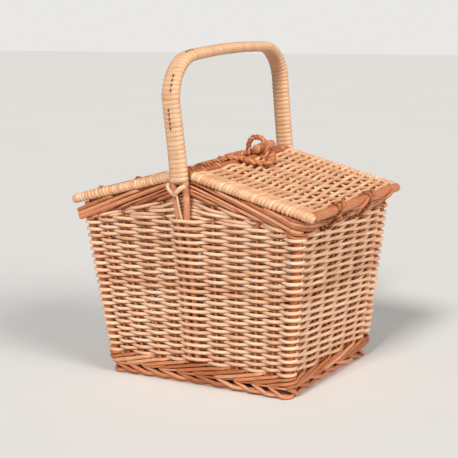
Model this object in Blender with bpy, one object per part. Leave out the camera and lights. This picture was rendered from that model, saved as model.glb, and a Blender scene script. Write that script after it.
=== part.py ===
"""A willow pie basket with a gabled body, two hinged lids and a cane-bound bow handle.

Metres, +Z up. X runs along the length, the front wall faces -Y, and the origin is the
middle of the face that the basket stands on. The long walls rise to a ridge under the
handle, and each lid lies along one slope of that gable, hinged at its low outer end by
two willow loops. A hoop on the right lid comes up through a noose on the left lid, and
a peg pushed through the hoop keeps both lids shut.
"""
import math

import bmesh
import bpy
from mathutils import Matrix, Vector

# Clearance between pieces that touch on the real basket, and the overrun of every cut
GAP = 0.0003
OVERRUN = 0.004
WELD_DISTANCE = 0.000001

# Body, measured on the stake line, which is the middle of the wall's thickness
FLOOR_LENGTH = 0.2650
FLOOR_WIDTH = 0.2148
RIM_LENGTH = 0.3180
RIM_WIDTH = 0.2390
RIM_HEIGHT = 0.2115
CORNER_TURN_RADIUS = 0.0070

# Foot border and the wale of thick rods above it
FOOT_RAIL_HEIGHT = 0.0062
FOOT_RAIL_WIDTH = 0.0120
FOOT_RAIL_BASE_SHARE = 0.7
FOOT_RAIL_TOP_SHARE = 0.6
FOOT_RAIL_WIDEST_SHARE = 0.45
FOOT_ROD_RADIUS = 0.0023
WALE_BOTTOM = 0.0173
WALE_TOP = 0.0307
WALE_THICKNESS = 0.0130
WALE_ROD_GROOVE = 0.0011

# Woven walls and floor
WALL_THICKNESS = 0.0112
ROW_PITCH = 0.00465
ROW_GROOVE = 0.0007
FLOOR_THICKNESS = 0.0085
FLOOR_ROW_PITCH = 0.0088

# Upright rods
STAKE_RADIUS = 0.0024
POST_RADIUS = 0.0055

# Top border
BORDER_HEIGHT = 0.0215
BORDER_THICKNESS = 0.0118
BORDER_ROD_GROOVE = 0.0012

# Lids: how far they reach past the rim, and their sticks
HINGE_OVERHANG = 0.0210
HINGE_RISE = 0.0280
RIDGE_RISE = 0.0425
RIDGE_STICK_X = 0.0085
HINGE_STICK_RADIUS = 0.0058
HINGE_STICK_TAPER = 0.0012
RIDGE_STICK_RADIUS = 0.0039
SIDE_STICK_RADIUS = 0.0035
LID_OVERHANG = 0.0055
LID_ROLL_RADIUS = 0.0064
LID_THICKNESS = 0.0100
LID_ROW_PITCH = 0.0056
LID_ROW_GROOVE = 0.0006
HANDLE_CLEARANCE = 0.0020

# Hinge loops, each round a lid's outer stick and through the top border
LOOP_ROD_RADIUS = 0.0020
LOOP_FRONT_SHARE = -0.25
LOOP_BACK_SHARE = 0.10
LOOP_FOOT_INSET = 0.0100
LOOP_FOOT_DROP = 0.0200
LOOP_FOOT_TURN_RADIUS = 0.0085
LOOP_SLOT_CLEARANCE = 0.0006

# Handle: its place outside the border and its rise above the ridge
HANDLE_FOOT_CLEARANCE = 0.00024
HANDLE_LEG_SPLAY = 0.0026
HANDLE_LEG_RISE = 0.0960
HANDLE_SHOULDER_RADIUS = 0.0520
HANDLE_CAMBER = 0.0030
HANDLE_LEAN = 0.0078
BINDING_WIDTH = 0.0255
BINDING_DEPTH = 0.0140
BINDING_ROUNDING = 0.8
BINDING_FOOT_DROP = 0.0108
BOW_ROD_RADIUS = 0.0040
BOW_ROD_SPREAD = 0.0076
BOW_ROD_ARCH_SPREAD = 0.0060
BOW_ENTRY_RISE = 0.0115
BOW_BEND_RISE = 0.0385

# Closure
HOOP_INNER_X = -0.0014
HOOP_Y = 0.0360
HOOP_RISE = 0.0122
HOOP_HALF_WIDTH = 0.0137
HOOP_HALF_HEIGHT = 0.0197
HOOP_ROD_RADIUS = 0.0025
HOOP_ROUNDING = 0.77
PEG_RADIUS = 0.0057
PEG_FRONT_Y = 0.0260
PEG_BACK_Y = 0.0770
PEG_CHAMFER = 0.0010
NOOSE_ROD_RADIUS = 0.0026
NOOSE_ANCHOR_FRONT_Y = -0.0240
NOOSE_ANCHOR_BACK_Y = -0.0060
NOOSE_REACH_X = 0.0420
NOOSE_BACK_Y = 0.0540
NOOSE_SLOT_CLEARANCE = 0.0006

# Where the stakes stand, as shares of the half length or half width
LONG_WALL_STAKE_SHARES = (-0.82, -0.64, -0.44, -0.23, 0.23, 0.44, 0.64, 0.82)
END_WALL_STAKE_SHARES = (-0.82, -0.49, -0.17, 0.17, 0.49, 0.82)

# Counts
FOOT_ROD_COUNT = 34
BORDER_ROD_COUNT = 4
WALE_ROD_COUNT = 3
CORNER_STEPS = 3
FOOT_ROD_REACH_SHARE = 1.6

# Worked out from the sizes above
HINGE_X = RIM_LENGTH / 2 + HINGE_OVERHANG
HINGE_HEIGHT = RIM_HEIGHT + HINGE_RISE
RIDGE_STICK_HEIGHT = HINGE_HEIGHT + RIDGE_RISE
LID_WIDTH = RIM_WIDTH + 2 * LID_OVERHANG
HINGE_STICK_LENGTH = LID_WIDTH - 2 * (LID_ROLL_RADIUS + GAP)
LOOP_FRONT_Y = LOOP_FRONT_SHARE * LID_WIDTH
LOOP_BACK_Y = LOOP_BACK_SHARE * LID_WIDTH
LOOP_FOOT_X = HINGE_X - LOOP_FOOT_INSET
LOOP_FOOT_HEIGHT = HINGE_HEIGHT - LOOP_FOOT_DROP
HANDLE_LEG_TOP = RIDGE_STICK_HEIGHT + HANDLE_LEG_RISE
BINDING_FOOT_HEIGHT = RIDGE_STICK_HEIGHT - BINDING_FOOT_DROP
LONG_WALL_LEAN = (RIM_WIDTH - FLOOR_WIDTH) / 2 / RIM_HEIGHT
BOW_ROD_END_HEIGHT = WALE_TOP + GAP + BOW_ROD_RADIUS * LONG_WALL_LEAN
BOW_ENTRY_HEIGHT = RIM_HEIGHT + BOW_ENTRY_RISE
BOW_BEND_HEIGHT = RIM_HEIGHT + BOW_BEND_RISE
HOOP_X = HOOP_HALF_WIDTH + HOOP_INNER_X
HOOP_HEIGHT = RIDGE_STICK_HEIGHT + HOOP_RISE
PEG_X = HOOP_X
LID_SLOPE = (RIDGE_STICK_HEIGHT - HINGE_HEIGHT) / (HINGE_X - RIDGE_STICK_X)
LID_ANGLE = math.atan(LID_SLOPE)
LID_REACH = math.hypot(HINGE_X - RIDGE_STICK_X, RIDGE_STICK_HEIGHT - HINGE_HEIGHT)
BORDER_TOP_DROP = LID_ROLL_RADIUS / math.cos(LID_ANGLE) + GAP
BORDER_BOTTOM_DROP = BORDER_TOP_DROP + BORDER_HEIGHT
BORDER_PEAK = HINGE_HEIGHT + LID_SLOPE * HINGE_X - BORDER_TOP_DROP
BORDER_PEAK_Y = FLOOR_WIDTH / 2 + LONG_WALL_LEAN * BORDER_PEAK + BORDER_THICKNESS / 2
HANDLE_FOOT_Y = BORDER_PEAK_Y + BINDING_DEPTH / 2 + HANDLE_FOOT_CLEARANCE
HANDLE_LEG_Y = HANDLE_FOOT_Y + HANDLE_LEG_SPLAY
POST_INSET = CORNER_TURN_RADIUS * (1 - math.sqrt(0.5))


def half_length(z):
    """Half the stake line's length at height z."""
    return FLOOR_LENGTH / 2 + (RIM_LENGTH - FLOOR_LENGTH) / 2 * z / RIM_HEIGHT


def half_width(z):
    """Half the stake line's width at height z."""
    return FLOOR_WIDTH / 2 + (RIM_WIDTH - FLOOR_WIDTH) / 2 * z / RIM_HEIGHT


def lid_height(x):
    """Height of the closed lids' middle plane at x."""
    return HINGE_HEIGHT + LID_SLOPE * (HINGE_X - abs(x))


def noose_height(x):
    """Height at which the noose lies on the lids, level between the ridge sticks."""
    place = max(abs(x), RIDGE_STICK_X + RIDGE_STICK_RADIUS)
    on_weave = lid_height(place) + LID_THICKNESS / 2 / math.cos(LID_ANGLE)
    return on_weave + GAP + NOOSE_ROD_RADIUS


def peg_height():
    """Height of the peg's middle line, lying on the noose."""
    return noose_height(0) + NOOSE_ROD_RADIUS + PEG_RADIUS


def rounded(value, power):
    """A sine or cosine raised to a power, which squares an ellipse off a little."""
    return math.copysign(abs(value) ** power, value)


def clear_scene():
    for item in list(bpy.data.objects):
        bpy.data.objects.remove(item, do_unlink=True)


def make_material(name, colour, roughness):
    """A plain finish: the willow is neither metal nor glossy."""
    finish = bpy.data.materials.new(name)
    finish.use_nodes = True
    shader = finish.node_tree.nodes["Principled BSDF"]
    shader.inputs["Base Color"].default_value = (*colour, 1)
    shader.inputs["Roughness"].default_value = roughness
    shader.inputs["Metallic"].default_value = 0
    return finish


def add_object(name, mesh, finish, parent=None):
    """Put a mesh in the scene as a smooth-shaded sub-part."""
    mesh.name = name
    mesh.materials.clear()
    mesh.materials.append(finish)
    mesh.shade_smooth()
    mesh.set_sharp_from_angle(angle=math.radians(40))
    piece = bpy.data.objects.new(name, mesh)
    bpy.context.scene.collection.objects.link(piece)
    piece.parent = parent
    return piece


def add_axis(name, location, rotation=(0, 0, 0)):
    """An empty on a joint's axis, which carries the pieces that move on it."""
    axis = bpy.data.objects.new(name, None)
    axis.location = location
    axis.rotation_euler = rotation
    bpy.context.scene.collection.objects.link(axis)
    bpy.context.view_layer.update()
    return axis


def from_axis(mesh, axis):
    """Move a mesh modelled in the basket's frame into its axis' own frame."""
    mesh.transform(axis.matrix_world.inverted())
    return mesh


def mesh_of(source):
    """The evaluated mesh of a scratch object, which is then removed."""
    bpy.context.view_layer.update()
    graph = bpy.context.evaluated_depsgraph_get()
    mesh = bpy.data.meshes.new_from_object(source.evaluated_get(graph))
    bpy.data.objects.remove(source, do_unlink=True)
    work = bmesh.new()
    work.from_mesh(mesh)
    bmesh.ops.remove_doubles(work, verts=work.verts, dist=WELD_DISTANCE)
    return finished(work)


def rod(points, radius, resolution=2, closed=False, sizes=None, section=None):
    """A rod swept along points: a curve with a round bevel, or with a section curve."""
    curve = bpy.data.curves.new("rod", "CURVE")
    curve.dimensions = "3D"
    curve.twist_mode = "MINIMUM"
    curve.use_fill_caps = not closed
    spline = curve.splines.new("POLY")
    spline.points.add(len(points) - 1)
    for index, point in enumerate(points):
        spline.points[index].co = (*point, 1)
        spline.points[index].radius = sizes[index] if sizes else 1
    spline.use_cyclic_u = closed
    if section:
        curve.bevel_mode = "OBJECT"
        curve.bevel_object = section
    else:
        curve.bevel_depth = radius
        curve.bevel_resolution = resolution
    source = bpy.data.objects.new("rod", curve)
    bpy.context.scene.collection.objects.link(source)
    return mesh_of(source)


def joined(meshes):
    """Several separate closed meshes as one, for use as a cutter or an addition."""
    work = bmesh.new()
    for mesh in meshes:
        work.from_mesh(mesh)
    whole = bpy.data.meshes.new("joined")
    work.to_mesh(whole)
    work.free()
    return whole


def boolean(mesh, other, operation):
    """The exact union or difference of two meshes."""
    body = bpy.data.objects.new("body", mesh)
    tool = bpy.data.objects.new("tool", other)
    for item in (body, tool):
        bpy.context.scene.collection.objects.link(item)
    modifier = body.modifiers.new("boolean", "BOOLEAN")
    modifier.solver = "EXACT"
    modifier.operation = operation
    modifier.object = tool
    result = mesh_of(body)
    bpy.data.objects.remove(tool, do_unlink=True)
    return result


def finished(work):
    """Close a bmesh into a mesh with its faces pointing out."""
    bmesh.ops.recalc_face_normals(work, faces=work.faces)
    mesh = bpy.data.meshes.new("mesh")
    work.to_mesh(mesh)
    work.free()
    return mesh


def block(low, high):
    """A box between two corners, for slots."""
    work = bmesh.new()
    size = Vector(high) - Vector(low)
    middle = (Vector(high) + Vector(low)) / 2
    matrix = Matrix.Translation(middle) @ Matrix.Diagonal((*size, 1))
    bmesh.ops.create_cube(work, size=1, matrix=matrix)
    return finished(work)


def slice_off(work, point, normal):
    """Cut away what lies past a plane, and close the cut."""
    geometry = work.verts[:] + work.edges[:] + work.faces[:]
    bmesh.ops.bisect_plane(work, geom=geometry, plane_co=point, plane_no=normal,
                           clear_outer=True)
    rim = [edge for edge in work.edges if len(edge.link_faces) == 1]
    bmesh.ops.contextual_create(work, geom=rim)


def row_outline(start, end, pitch, half_thickness, groove):
    """Outline across woven rows: pairs of (along, out), a crest for each row."""
    count = max(1, round((end - start) / pitch))
    step = (end - start) / count
    face = [(start, half_thickness - groove)]
    for row in range(count):
        low = start + row * step
        face.append((low + step / 2, half_thickness))
        face.append((low + step, half_thickness - groove))
    return face + [(along, -out) for along, out in reversed(face)]


def extruded(outline, travel):
    """A closed outline of points swept straight along a vector."""
    work = bmesh.new()
    face = work.faces.new([work.verts.new(point) for point in outline])
    result = bmesh.ops.extrude_face_region(work, geom=[face])
    moved = [item for item in result["geom"] if isinstance(item, bmesh.types.BMVert)]
    bmesh.ops.translate(work, verts=moved, vec=travel)
    return work


# Places on the stake line

def wall_point(wall, share, z):
    """A point of the stake line on a named wall, at a share of its half extent."""
    long_places = {"front": -1, "back": 1}
    if wall in long_places:
        return Vector((share * half_length(z), long_places[wall] * half_width(z), z))
    side = {"left": -1, "right": 1}[wall]
    return Vector((side * half_length(z), share * half_width(z), z))


def post_point(side_x, side_y, z):
    """A point on a corner post's middle line."""
    return Vector((side_x * (half_length(z) - POST_INSET),
                   side_y * (half_width(z) - POST_INSET), z))


def rod_lean(place):
    """Sideways travel of a rod for each unit of height."""
    step = place(RIM_HEIGHT) - place(0)
    return math.hypot(step.x, step.y) / RIM_HEIGHT


def height_under_border(place, radius):
    """Height at which a rod whose middle is place(z) stops under the sloping border."""
    z = RIM_HEIGHT
    drop = BORDER_BOTTOM_DROP + GAP + radius * (LID_SLOPE + rod_lean(place))
    for _ in range(6):
        z = lid_height(place(z).x) - drop
    return z


def upright(place, radius, low, extra=0, overrun=0):
    """A straight upright rod from a height to the border's underside."""
    top = height_under_border(place, radius) + overrun
    return rod([place(low - overrun), place(top)], radius + extra)


def stake_places():
    """Name and middle line of each stake."""
    for wall in ("front", "back"):
        for number, share in enumerate(LONG_WALL_STAKE_SHARES, 1):
            yield f"{wall}_stake_{number}", wall, share
    for wall in ("left", "right"):
        for number, share in enumerate(END_WALL_STAKE_SHARES, 1):
            yield f"{wall}_stake_{number}", wall, share


def add_uprights(brown):
    for name, wall, share in stake_places():
        def place(z):
            return wall_point(wall, share, z)
        low = WALE_BOTTOM + STAKE_RADIUS * rod_lean(place)
        add_object(name, upright(place, STAKE_RADIUS, low), brown)
    for depth, side_y in (("front", -1), ("back", 1)):
        for hand, side_x in (("left", -1), ("right", 1)):
            def place(z):
                return post_point(side_x, side_y, z)
            low = WALE_TOP + GAP + POST_RADIUS * rod_lean(place)
            mesh = upright(place, POST_RADIUS, low)
            add_object(f"{depth}_{hand}_corner_post", mesh, brown)


def stake_channels():
    """All the stakes with their clearance, to cut their channels."""
    channels = []
    for _, wall, share in stake_places():
        channels.append(upright(lambda z: wall_point(wall, share, z),
                                STAKE_RADIUS, WALE_BOTTOM, GAP, OVERRUN))
    return joined(channels)


# Rings that follow the walls: foot rail, wale and border

def plan_loop(offset, height):
    """A loop of points round the basket, offset out from the stake line.

    height gives z from x, so that the loop can climb to the ridge.
    """
    loop = []
    for side_x, side_y, quarter in ((-1, -1, 2), (1, -1, 3), (1, 1, 0), (-1, 1, 1)):
        for step in range(CORNER_STEPS + 1):
            angle = math.pi / 2 * (quarter + step / CORNER_STEPS)
            reach = CORNER_TURN_RADIUS + offset
            x = side_x * RIM_LENGTH / 2
            for _ in range(6):
                z = height(x)
                middle = half_length(z) - CORNER_TURN_RADIUS
                x = side_x * middle + reach * math.cos(angle)
            middle = half_width(z) - CORNER_TURN_RADIUS
            loop.append((x, side_y * middle + reach * math.sin(angle), z))
        if side_x == side_y:
            ridge = height(0)
            loop.append((0, side_y * (half_width(ridge) + offset), ridge))
    return loop


def ring_body(section, height):
    """A closed ring whose section is a list of (offset, rise) about height(x)."""
    work = bmesh.new()
    rings = []
    for offset, rise in section:
        loop = plan_loop(offset, lambda x: height(x) + rise)
        rings.append([work.verts.new(point) for point in loop])
    for index, ring in enumerate(rings):
        before = rings[index - 1]
        for step, corner in enumerate(ring):
            work.faces.new((before[step - 1], before[step], corner, ring[step - 1]))
    return finished(work)


def stacked_rods_section(height, thickness, groove, count):
    """Section of rods laid one on another: a bump on each face for each rod."""
    rod_height = height / count
    face = [(thickness / 2 - groove, -height / 2)]
    for number in range(count):
        low = -height / 2 + number * rod_height
        face.append((thickness / 2, low + rod_height / 2))
        face.append((thickness / 2 - groove, low + rod_height))
    return face + [(-offset, rise) for offset, rise in reversed(face)]


def add_top_border(brown, loops):
    section = stacked_rods_section(BORDER_HEIGHT, BORDER_THICKNESS, BORDER_ROD_GROOVE,
                                   BORDER_ROD_COUNT)
    middle_drop = (BORDER_TOP_DROP + BORDER_BOTTOM_DROP) / 2
    mesh = ring_body(section, lambda x: lid_height(x) - middle_drop)
    add_object("top_border", boolean(mesh, loops, "DIFFERENCE"), brown)


def add_wale(brown, channels):
    height = WALE_TOP - WALE_BOTTOM
    section = stacked_rods_section(height, WALE_THICKNESS, WALE_ROD_GROOVE,
                                   WALE_ROD_COUNT)
    mesh = ring_body(section, lambda x: (WALE_TOP + WALE_BOTTOM) / 2)
    add_object("base_wale", boolean(mesh, channels, "DIFFERENCE"), brown)


def foot_walk(distance, z):
    """The point at a distance walked round the stake line, seen from above."""
    turn = CORNER_TURN_RADIUS
    arc = math.pi / 2 * turn
    length = 2 * (half_length(0) - turn)
    width = 2 * (half_width(0) - turn)
    left = distance % (2 * (length + width) + 4 * arc)
    for quarter, run in enumerate((length, width, length, width)):
        heading = math.pi / 2 * quarter
        along = Vector((math.cos(heading), math.sin(heading), 0))
        out = Vector((along.y, -along.x, 0))
        side = width if quarter % 2 == 0 else length
        if left <= run:
            return along * (left - run / 2) + out * (side / 2 + turn) + Vector((0, 0, z))
        left -= run
        if left <= arc:
            angle = left / turn
            corner = along * run / 2 + out * side / 2
            reach = out * math.cos(angle) + along * math.sin(angle)
            return corner + reach * turn + Vector((0, 0, z))
        left -= arc
    return foot_walk(0, z)


def foot_rods():
    """The rods of the open border: each leaves the wale and sweeps down to the rail."""
    turn = CORNER_TURN_RADIUS
    around = 4 * (half_length(0) + half_width(0) - 2 * turn) + 2 * math.pi * turn
    spacing = around / FOOT_ROD_COUNT
    low = FOOT_RAIL_HEIGHT / 2
    high = WALE_BOTTOM + FOOT_ROD_RADIUS
    steps = 3
    sweep_power = 1.8
    rods = []
    for number in range(FOOT_ROD_COUNT):
        points = []
        for step in range(steps + 1):
            travel = step / steps
            distance = (number + travel * FOOT_ROD_REACH_SHARE) * spacing
            z = low + (high - low) * (1 - travel) ** sweep_power
            points.append(foot_walk(distance, z))
        rods.append(rod(points, FOOT_ROD_RADIUS, resolution=1))
    return joined(rods)


def foot_rail_section():
    """Section of the bundle of rods that lies on the floor, flat underneath."""
    edge = FOOT_RAIL_WIDTH / 2
    base = edge * FOOT_RAIL_BASE_SHARE
    top = edge * FOOT_RAIL_TOP_SHARE
    widest = FOOT_RAIL_HEIGHT * FOOT_RAIL_WIDEST_SHARE
    return [(base, 0), (edge, widest), (top, FOOT_RAIL_HEIGHT),
            (-top, FOOT_RAIL_HEIGHT), (-edge, widest), (-base, 0)]


def add_foot_border(brown):
    rail = ring_body(foot_rail_section(), lambda x: 0)
    work = bmesh.new()
    work.from_mesh(boolean(rail, foot_rods(), "UNION"))
    geometry = work.verts[:] + work.edges[:] + work.faces[:]
    cut = bmesh.ops.bisect_plane(work, geom=geometry, plane_co=(0, 0, WALE_BOTTOM - GAP),
                                 plane_no=(0, 0, 1), clear_outer=True)
    rims = [item for item in cut["geom_cut"] if isinstance(item, bmesh.types.BMEdge)]
    bmesh.ops.edgeloop_fill(work, edges=rims)
    add_object("foot_border", finished(work), brown)


# Woven panels

def gable_cuts(work):
    """Cut a panel's top along both slopes, just under the border."""
    top = Vector((0, 0, lid_height(0) - BORDER_BOTTOM_DROP - GAP))
    for side in (-1, 1):
        slice_off(work, top, Vector((side * LID_SLOPE, 0, 1)))


def wall_mesh(wall):
    """One woven wall: rows as ridges, cut to the taper and to the gable."""
    long_wall = wall in ("front", "back")
    top = lid_height(0) if long_wall else lid_height(RIM_LENGTH / 2)
    outline = row_outline(WALE_TOP + GAP, top, ROW_PITCH, WALL_THICKNESS / 2, ROW_GROOVE)
    sign = -1 if wall in ("front", "left") else 1
    across = half_width if long_wall else half_length
    along = half_length if long_wall else half_width
    reach = along(top)
    points = []
    for z, out in outline:
        place = sign * (across(z) + out)
        points.append((-reach, place, z) if long_wall else (place, -reach, z))
    travel = (2 * reach, 0, 0) if long_wall else (0, 2 * reach, 0)
    work = extruded(points, travel)
    gable_cuts(work)
    inset = POST_INSET + POST_RADIUS + GAP
    lean = (along(RIM_HEIGHT) - along(0)) / RIM_HEIGHT
    for side in (-1, 1):
        edge = side * (along(0) - inset)
        point = (edge, 0, 0) if long_wall else (0, edge, 0)
        normal = (side, 0, -lean) if long_wall else (0, side, -lean)
        slice_off(work, Vector(point), Vector(normal))
    return finished(work)


def add_walls(buff, channels, handle_channels, loops):
    for wall in ("front", "back", "left", "right"):
        mesh = boolean(wall_mesh(wall), channels, "DIFFERENCE")
        tool = handle_channels if wall in ("front", "back") else loops
        mesh = boolean(mesh, tool, "DIFFERENCE")
        add_object(f"{wall}_wall_weave", mesh, buff)


def add_floor(buff):
    low = WALE_BOTTOM + GAP
    middle = low + FLOOR_THICKNESS / 2
    reach_x = half_length(low) - WALE_THICKNESS / 2 - GAP
    reach_y = half_width(low) - WALE_THICKNESS / 2 - GAP
    outline = row_outline(-reach_y, reach_y, FLOOR_ROW_PITCH, FLOOR_THICKNESS / 2,
                          ROW_GROOVE)
    points = [(-reach_x, y, middle + out) for y, out in outline]
    work = extruded(points, (2 * reach_x, 0, 0))
    add_object("floor_weave", finished(work), buff)


# Hinge loops

def loop_path():
    """Middle line of the right-hand loops: round the stick, through the border."""
    stick = Vector((HINGE_X, HINGE_HEIGHT))
    foot = Vector((LOOP_FOOT_X, LOOP_FOOT_HEIGHT))
    stick_turn = HINGE_STICK_RADIUS + GAP + LOOP_ROD_RADIUS
    foot_turn = LOOP_FOOT_TURN_RADIUS
    between = stick - foot
    heading = math.atan2(between.y, between.x)
    spread = math.acos((foot_turn - stick_turn) / between.length)
    path = []
    steps = 9
    for step in range(steps + 1):
        angle = heading - (math.pi - spread) + 2 * (math.pi - spread) * step / steps
        path.append((stick.x + stick_turn * math.cos(angle),
                     stick.y + stick_turn * math.sin(angle)))
    for step in range(steps + 1):
        angle = heading + (math.pi - spread) + 2 * spread * step / steps
        path.append((foot.x + foot_turn * math.cos(angle),
                     foot.y + foot_turn * math.sin(angle)))
    return path


def hinge_loop(side, y, extra=0):
    points = [(side * x, y, z) for x, z in loop_path()]
    return rod(points, LOOP_ROD_RADIUS + extra, closed=True)


def loop_places():
    for hand, side in (("left", -1), ("right", 1)):
        for depth, y in (("front", LOOP_FRONT_Y), ("back", LOOP_BACK_Y)):
            yield f"{hand}_{depth}_hinge_loop", side, y


def add_hinge_loops(brown):
    for name, side, y in loop_places():
        add_object(name, hinge_loop(side, y), brown)


# Handle

def handle_path(start, low_y):
    """Middle line of the front half of the handle, from a height up to its crown."""
    leg = [Vector((0, -low_y, start)), Vector((0, -HANDLE_LEG_Y, HANDLE_LEG_TOP))]
    steps = 7
    centre_y = HANDLE_LEG_Y - HANDLE_SHOULDER_RADIUS
    for step in range(1, steps + 1):
        angle = math.pi / 2 * step / steps
        leg.append(Vector((0, -centre_y - HANDLE_SHOULDER_RADIUS * math.cos(angle),
                           HANDLE_LEG_TOP + HANDLE_SHOULDER_RADIUS * math.sin(angle))))
    crown = HANDLE_LEG_TOP + HANDLE_SHOULDER_RADIUS
    for share in (2 / 3, 1 / 3):
        leg.append(Vector((0, -centre_y * share, crown + HANDLE_CAMBER * (1 - share ** 2))))
    return leg + [Vector((0, 0, crown + HANDLE_CAMBER))]


def both_halves(front):
    """A front half path carried on over the crown and down the back."""
    return front + [Vector((p.x, -p.y, p.z)) for p in reversed(front[:-1])]


def leaned(mesh):
    """The handle leans a little to the left, as the hand-bent rods set."""
    for corner in mesh.vertices:
        rise = max(0, corner.co.z - BINDING_FOOT_HEIGHT)
        share = min(1, rise / (HANDLE_LEG_TOP - BINDING_FOOT_HEIGHT))
        corner.co.x -= HANDLE_LEAN * share
    return mesh


def oval_guide(width, depth):
    """A flat oval section for the cane binding."""
    curve = bpy.data.curves.new("binding_section", "CURVE")
    curve.dimensions = "2D"
    spline = curve.splines.new("POLY")
    steps = 12
    spline.points.add(steps - 1)
    for step in range(steps):
        angle = 2 * math.pi * step / steps
        x = rounded(math.cos(angle), BINDING_ROUNDING) * width / 2
        y = rounded(math.sin(angle), BINDING_ROUNDING) * depth / 2
        spline.points[step].co = (x, y, 0, 1)
    spline.use_cyclic_u = True
    guide = bpy.data.objects.new("binding_section", curve)
    bpy.context.scene.collection.objects.link(guide)
    return guide


def bow_path(side, low):
    """Path of a rod of the handle: in the wall, out past the border, up the binding."""
    spread = side * BOW_ROD_SPREAD
    arch_spread = side * BOW_ROD_ARCH_SPREAD
    path = [Vector((spread, -half_width(low), low)),
            Vector((spread, -half_width(BOW_ENTRY_HEIGHT), BOW_ENTRY_HEIGHT))]
    outside = half_width(BOW_BEND_HEIGHT) + BORDER_THICKNESS / 2 + GAP + BOW_ROD_RADIUS
    path.append(Vector((spread, -outside, BOW_BEND_HEIGHT)))
    path.append(Vector((spread, -HANDLE_FOOT_Y, BINDING_FOOT_HEIGHT)))
    for point in handle_path(BINDING_FOOT_HEIGHT, HANDLE_FOOT_Y)[1:]:
        path.append(Vector((arch_spread, point.y, point.z)))
    return both_halves(path)


def bow_rod(side, extra=0, overrun=0):
    """One rod of the handle: from the wale up the front wall, over and down the back."""
    path = bow_path(side, BOW_ROD_END_HEIGHT - overrun)
    return leaned(rod(path, BOW_ROD_RADIUS + extra))


def handle_channels():
    """The handle's rods with their clearance, to cut their channels."""
    return joined([bow_rod(side, GAP, OVERRUN) for side in (-1, 1)])


def binding_mesh():
    """The sleeve of wound cane."""
    points = both_halves(handle_path(BINDING_FOOT_HEIGHT, HANDLE_FOOT_Y))
    guide = oval_guide(BINDING_WIDTH, BINDING_DEPTH)
    mesh = leaned(rod(points, 0, section=guide))
    bpy.data.objects.remove(guide, do_unlink=True)
    return mesh


def add_handle(brown, cane, channels):
    add_object("handle_left_bow_rod", bow_rod(-1), brown)
    add_object("handle_right_bow_rod", bow_rod(1), brown)
    sleeve = boolean(binding_mesh(), channels, "DIFFERENCE")
    add_object("handle_cane_binding", sleeve, cane)


# Lids, modelled from the hinge axis: x to the ridge, z out of the lid's top face

def turned_stick(radius, length, taper):
    """A stick along Y, drawn in a little at both ends."""
    half = length / 2
    shoulder = half - taper * 3
    points = [(0, -half, 0), (0, -shoulder, 0), (0, shoulder, 0), (0, half, 0)]
    thin = 1 - taper / radius
    return rod(points, radius, resolution=4, sizes=[thin, 1, 1, thin])


def lid_frame():
    """Ridge stick and side sticks, let into each other at the corners."""
    start = -HINGE_STICK_RADIUS
    ridge = rod([(LID_REACH, -LID_WIDTH / 2, 0), (LID_REACH, LID_WIDTH / 2, 0)],
                RIDGE_STICK_RADIUS, resolution=4)
    mesh = ridge
    for side in (-1, 1):
        y = side * LID_WIDTH / 2
        stick = rod([(start, y, 0), (LID_REACH, y, 0)], SIDE_STICK_RADIUS, resolution=3)
        mesh = boolean(mesh, stick, "UNION")
    return mesh


def lid_frame_channels():
    """The side sticks with their clearance, run right through the rolls."""
    sticks = []
    for side in (-1, 1):
        y = side * LID_WIDTH / 2
        ends = [(-HINGE_STICK_RADIUS - OVERRUN, y, 0), (LID_REACH + OVERRUN, y, 0)]
        sticks.append(rod(ends, SIDE_STICK_RADIUS + GAP, resolution=3))
    return joined(sticks)


def lid_panel():
    """The lid's weave: ridged rows between two rolls wound round the side sticks.

    The rolls run on past the hinge stick's two ends and hide them.
    """
    start = HINGE_STICK_RADIUS + GAP
    end = LID_REACH - RIDGE_STICK_RADIUS - GAP
    outline = row_outline(start, end, LID_ROW_PITCH, LID_THICKNESS / 2, LID_ROW_GROOVE)
    half = LID_WIDTH / 2 - SIDE_STICK_RADIUS - 2 * GAP
    points = [(along, -half, out) for along, out in outline]
    mesh = finished(extruded(points, (0, 2 * half, 0)))
    handle_edge = BINDING_WIDTH / 2 + HANDLE_CLEARANCE
    roll_end = (HINGE_X - handle_edge) / math.cos(LID_ANGLE) - LID_ROLL_RADIUS * LID_SLOPE
    for side in (-1, 1):
        y = side * LID_WIDTH / 2
        ends = [(-HINGE_STICK_RADIUS, y, 0), (roll_end, y, 0)]
        roll = rod(ends, LID_ROLL_RADIUS, resolution=4)
        mesh = boolean(mesh, roll, "UNION")
    return boolean(mesh, lid_frame_channels(), "DIFFERENCE")


def edge_slot(start, end, low_y, high_y):
    """A slot right through the lid between two places."""
    return block((start, low_y, -LID_THICKNESS), (end, high_y, LID_THICKNESS))


def loop_slots(turn):
    """Slots for the hinge loops; turn is -1 where the lid's Y runs backwards."""
    width = LOOP_ROD_RADIUS + LOOP_SLOT_CLEARANCE
    depth = HINGE_STICK_RADIUS + GAP + 3 * LOOP_ROD_RADIUS + LOOP_SLOT_CLEARANCE
    slots = []
    for y in (LOOP_FRONT_Y, LOOP_BACK_Y):
        slots.append(edge_slot(0, depth, turn * y - width, turn * y + width))
    return slots


def hoop_slot():
    """Slot in the right lid for the hoop, whose Y runs backwards there."""
    width = HOOP_ROD_RADIUS + LOOP_SLOT_CLEARANCE
    inner_x = HOOP_X + HOOP_HALF_WIDTH + HOOP_ROD_RADIUS + LOOP_SLOT_CLEARANCE
    start = (HINGE_X - inner_x) / math.cos(LID_ANGLE)
    return edge_slot(start, LID_REACH, -HOOP_Y - width, -HOOP_Y + width)


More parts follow.
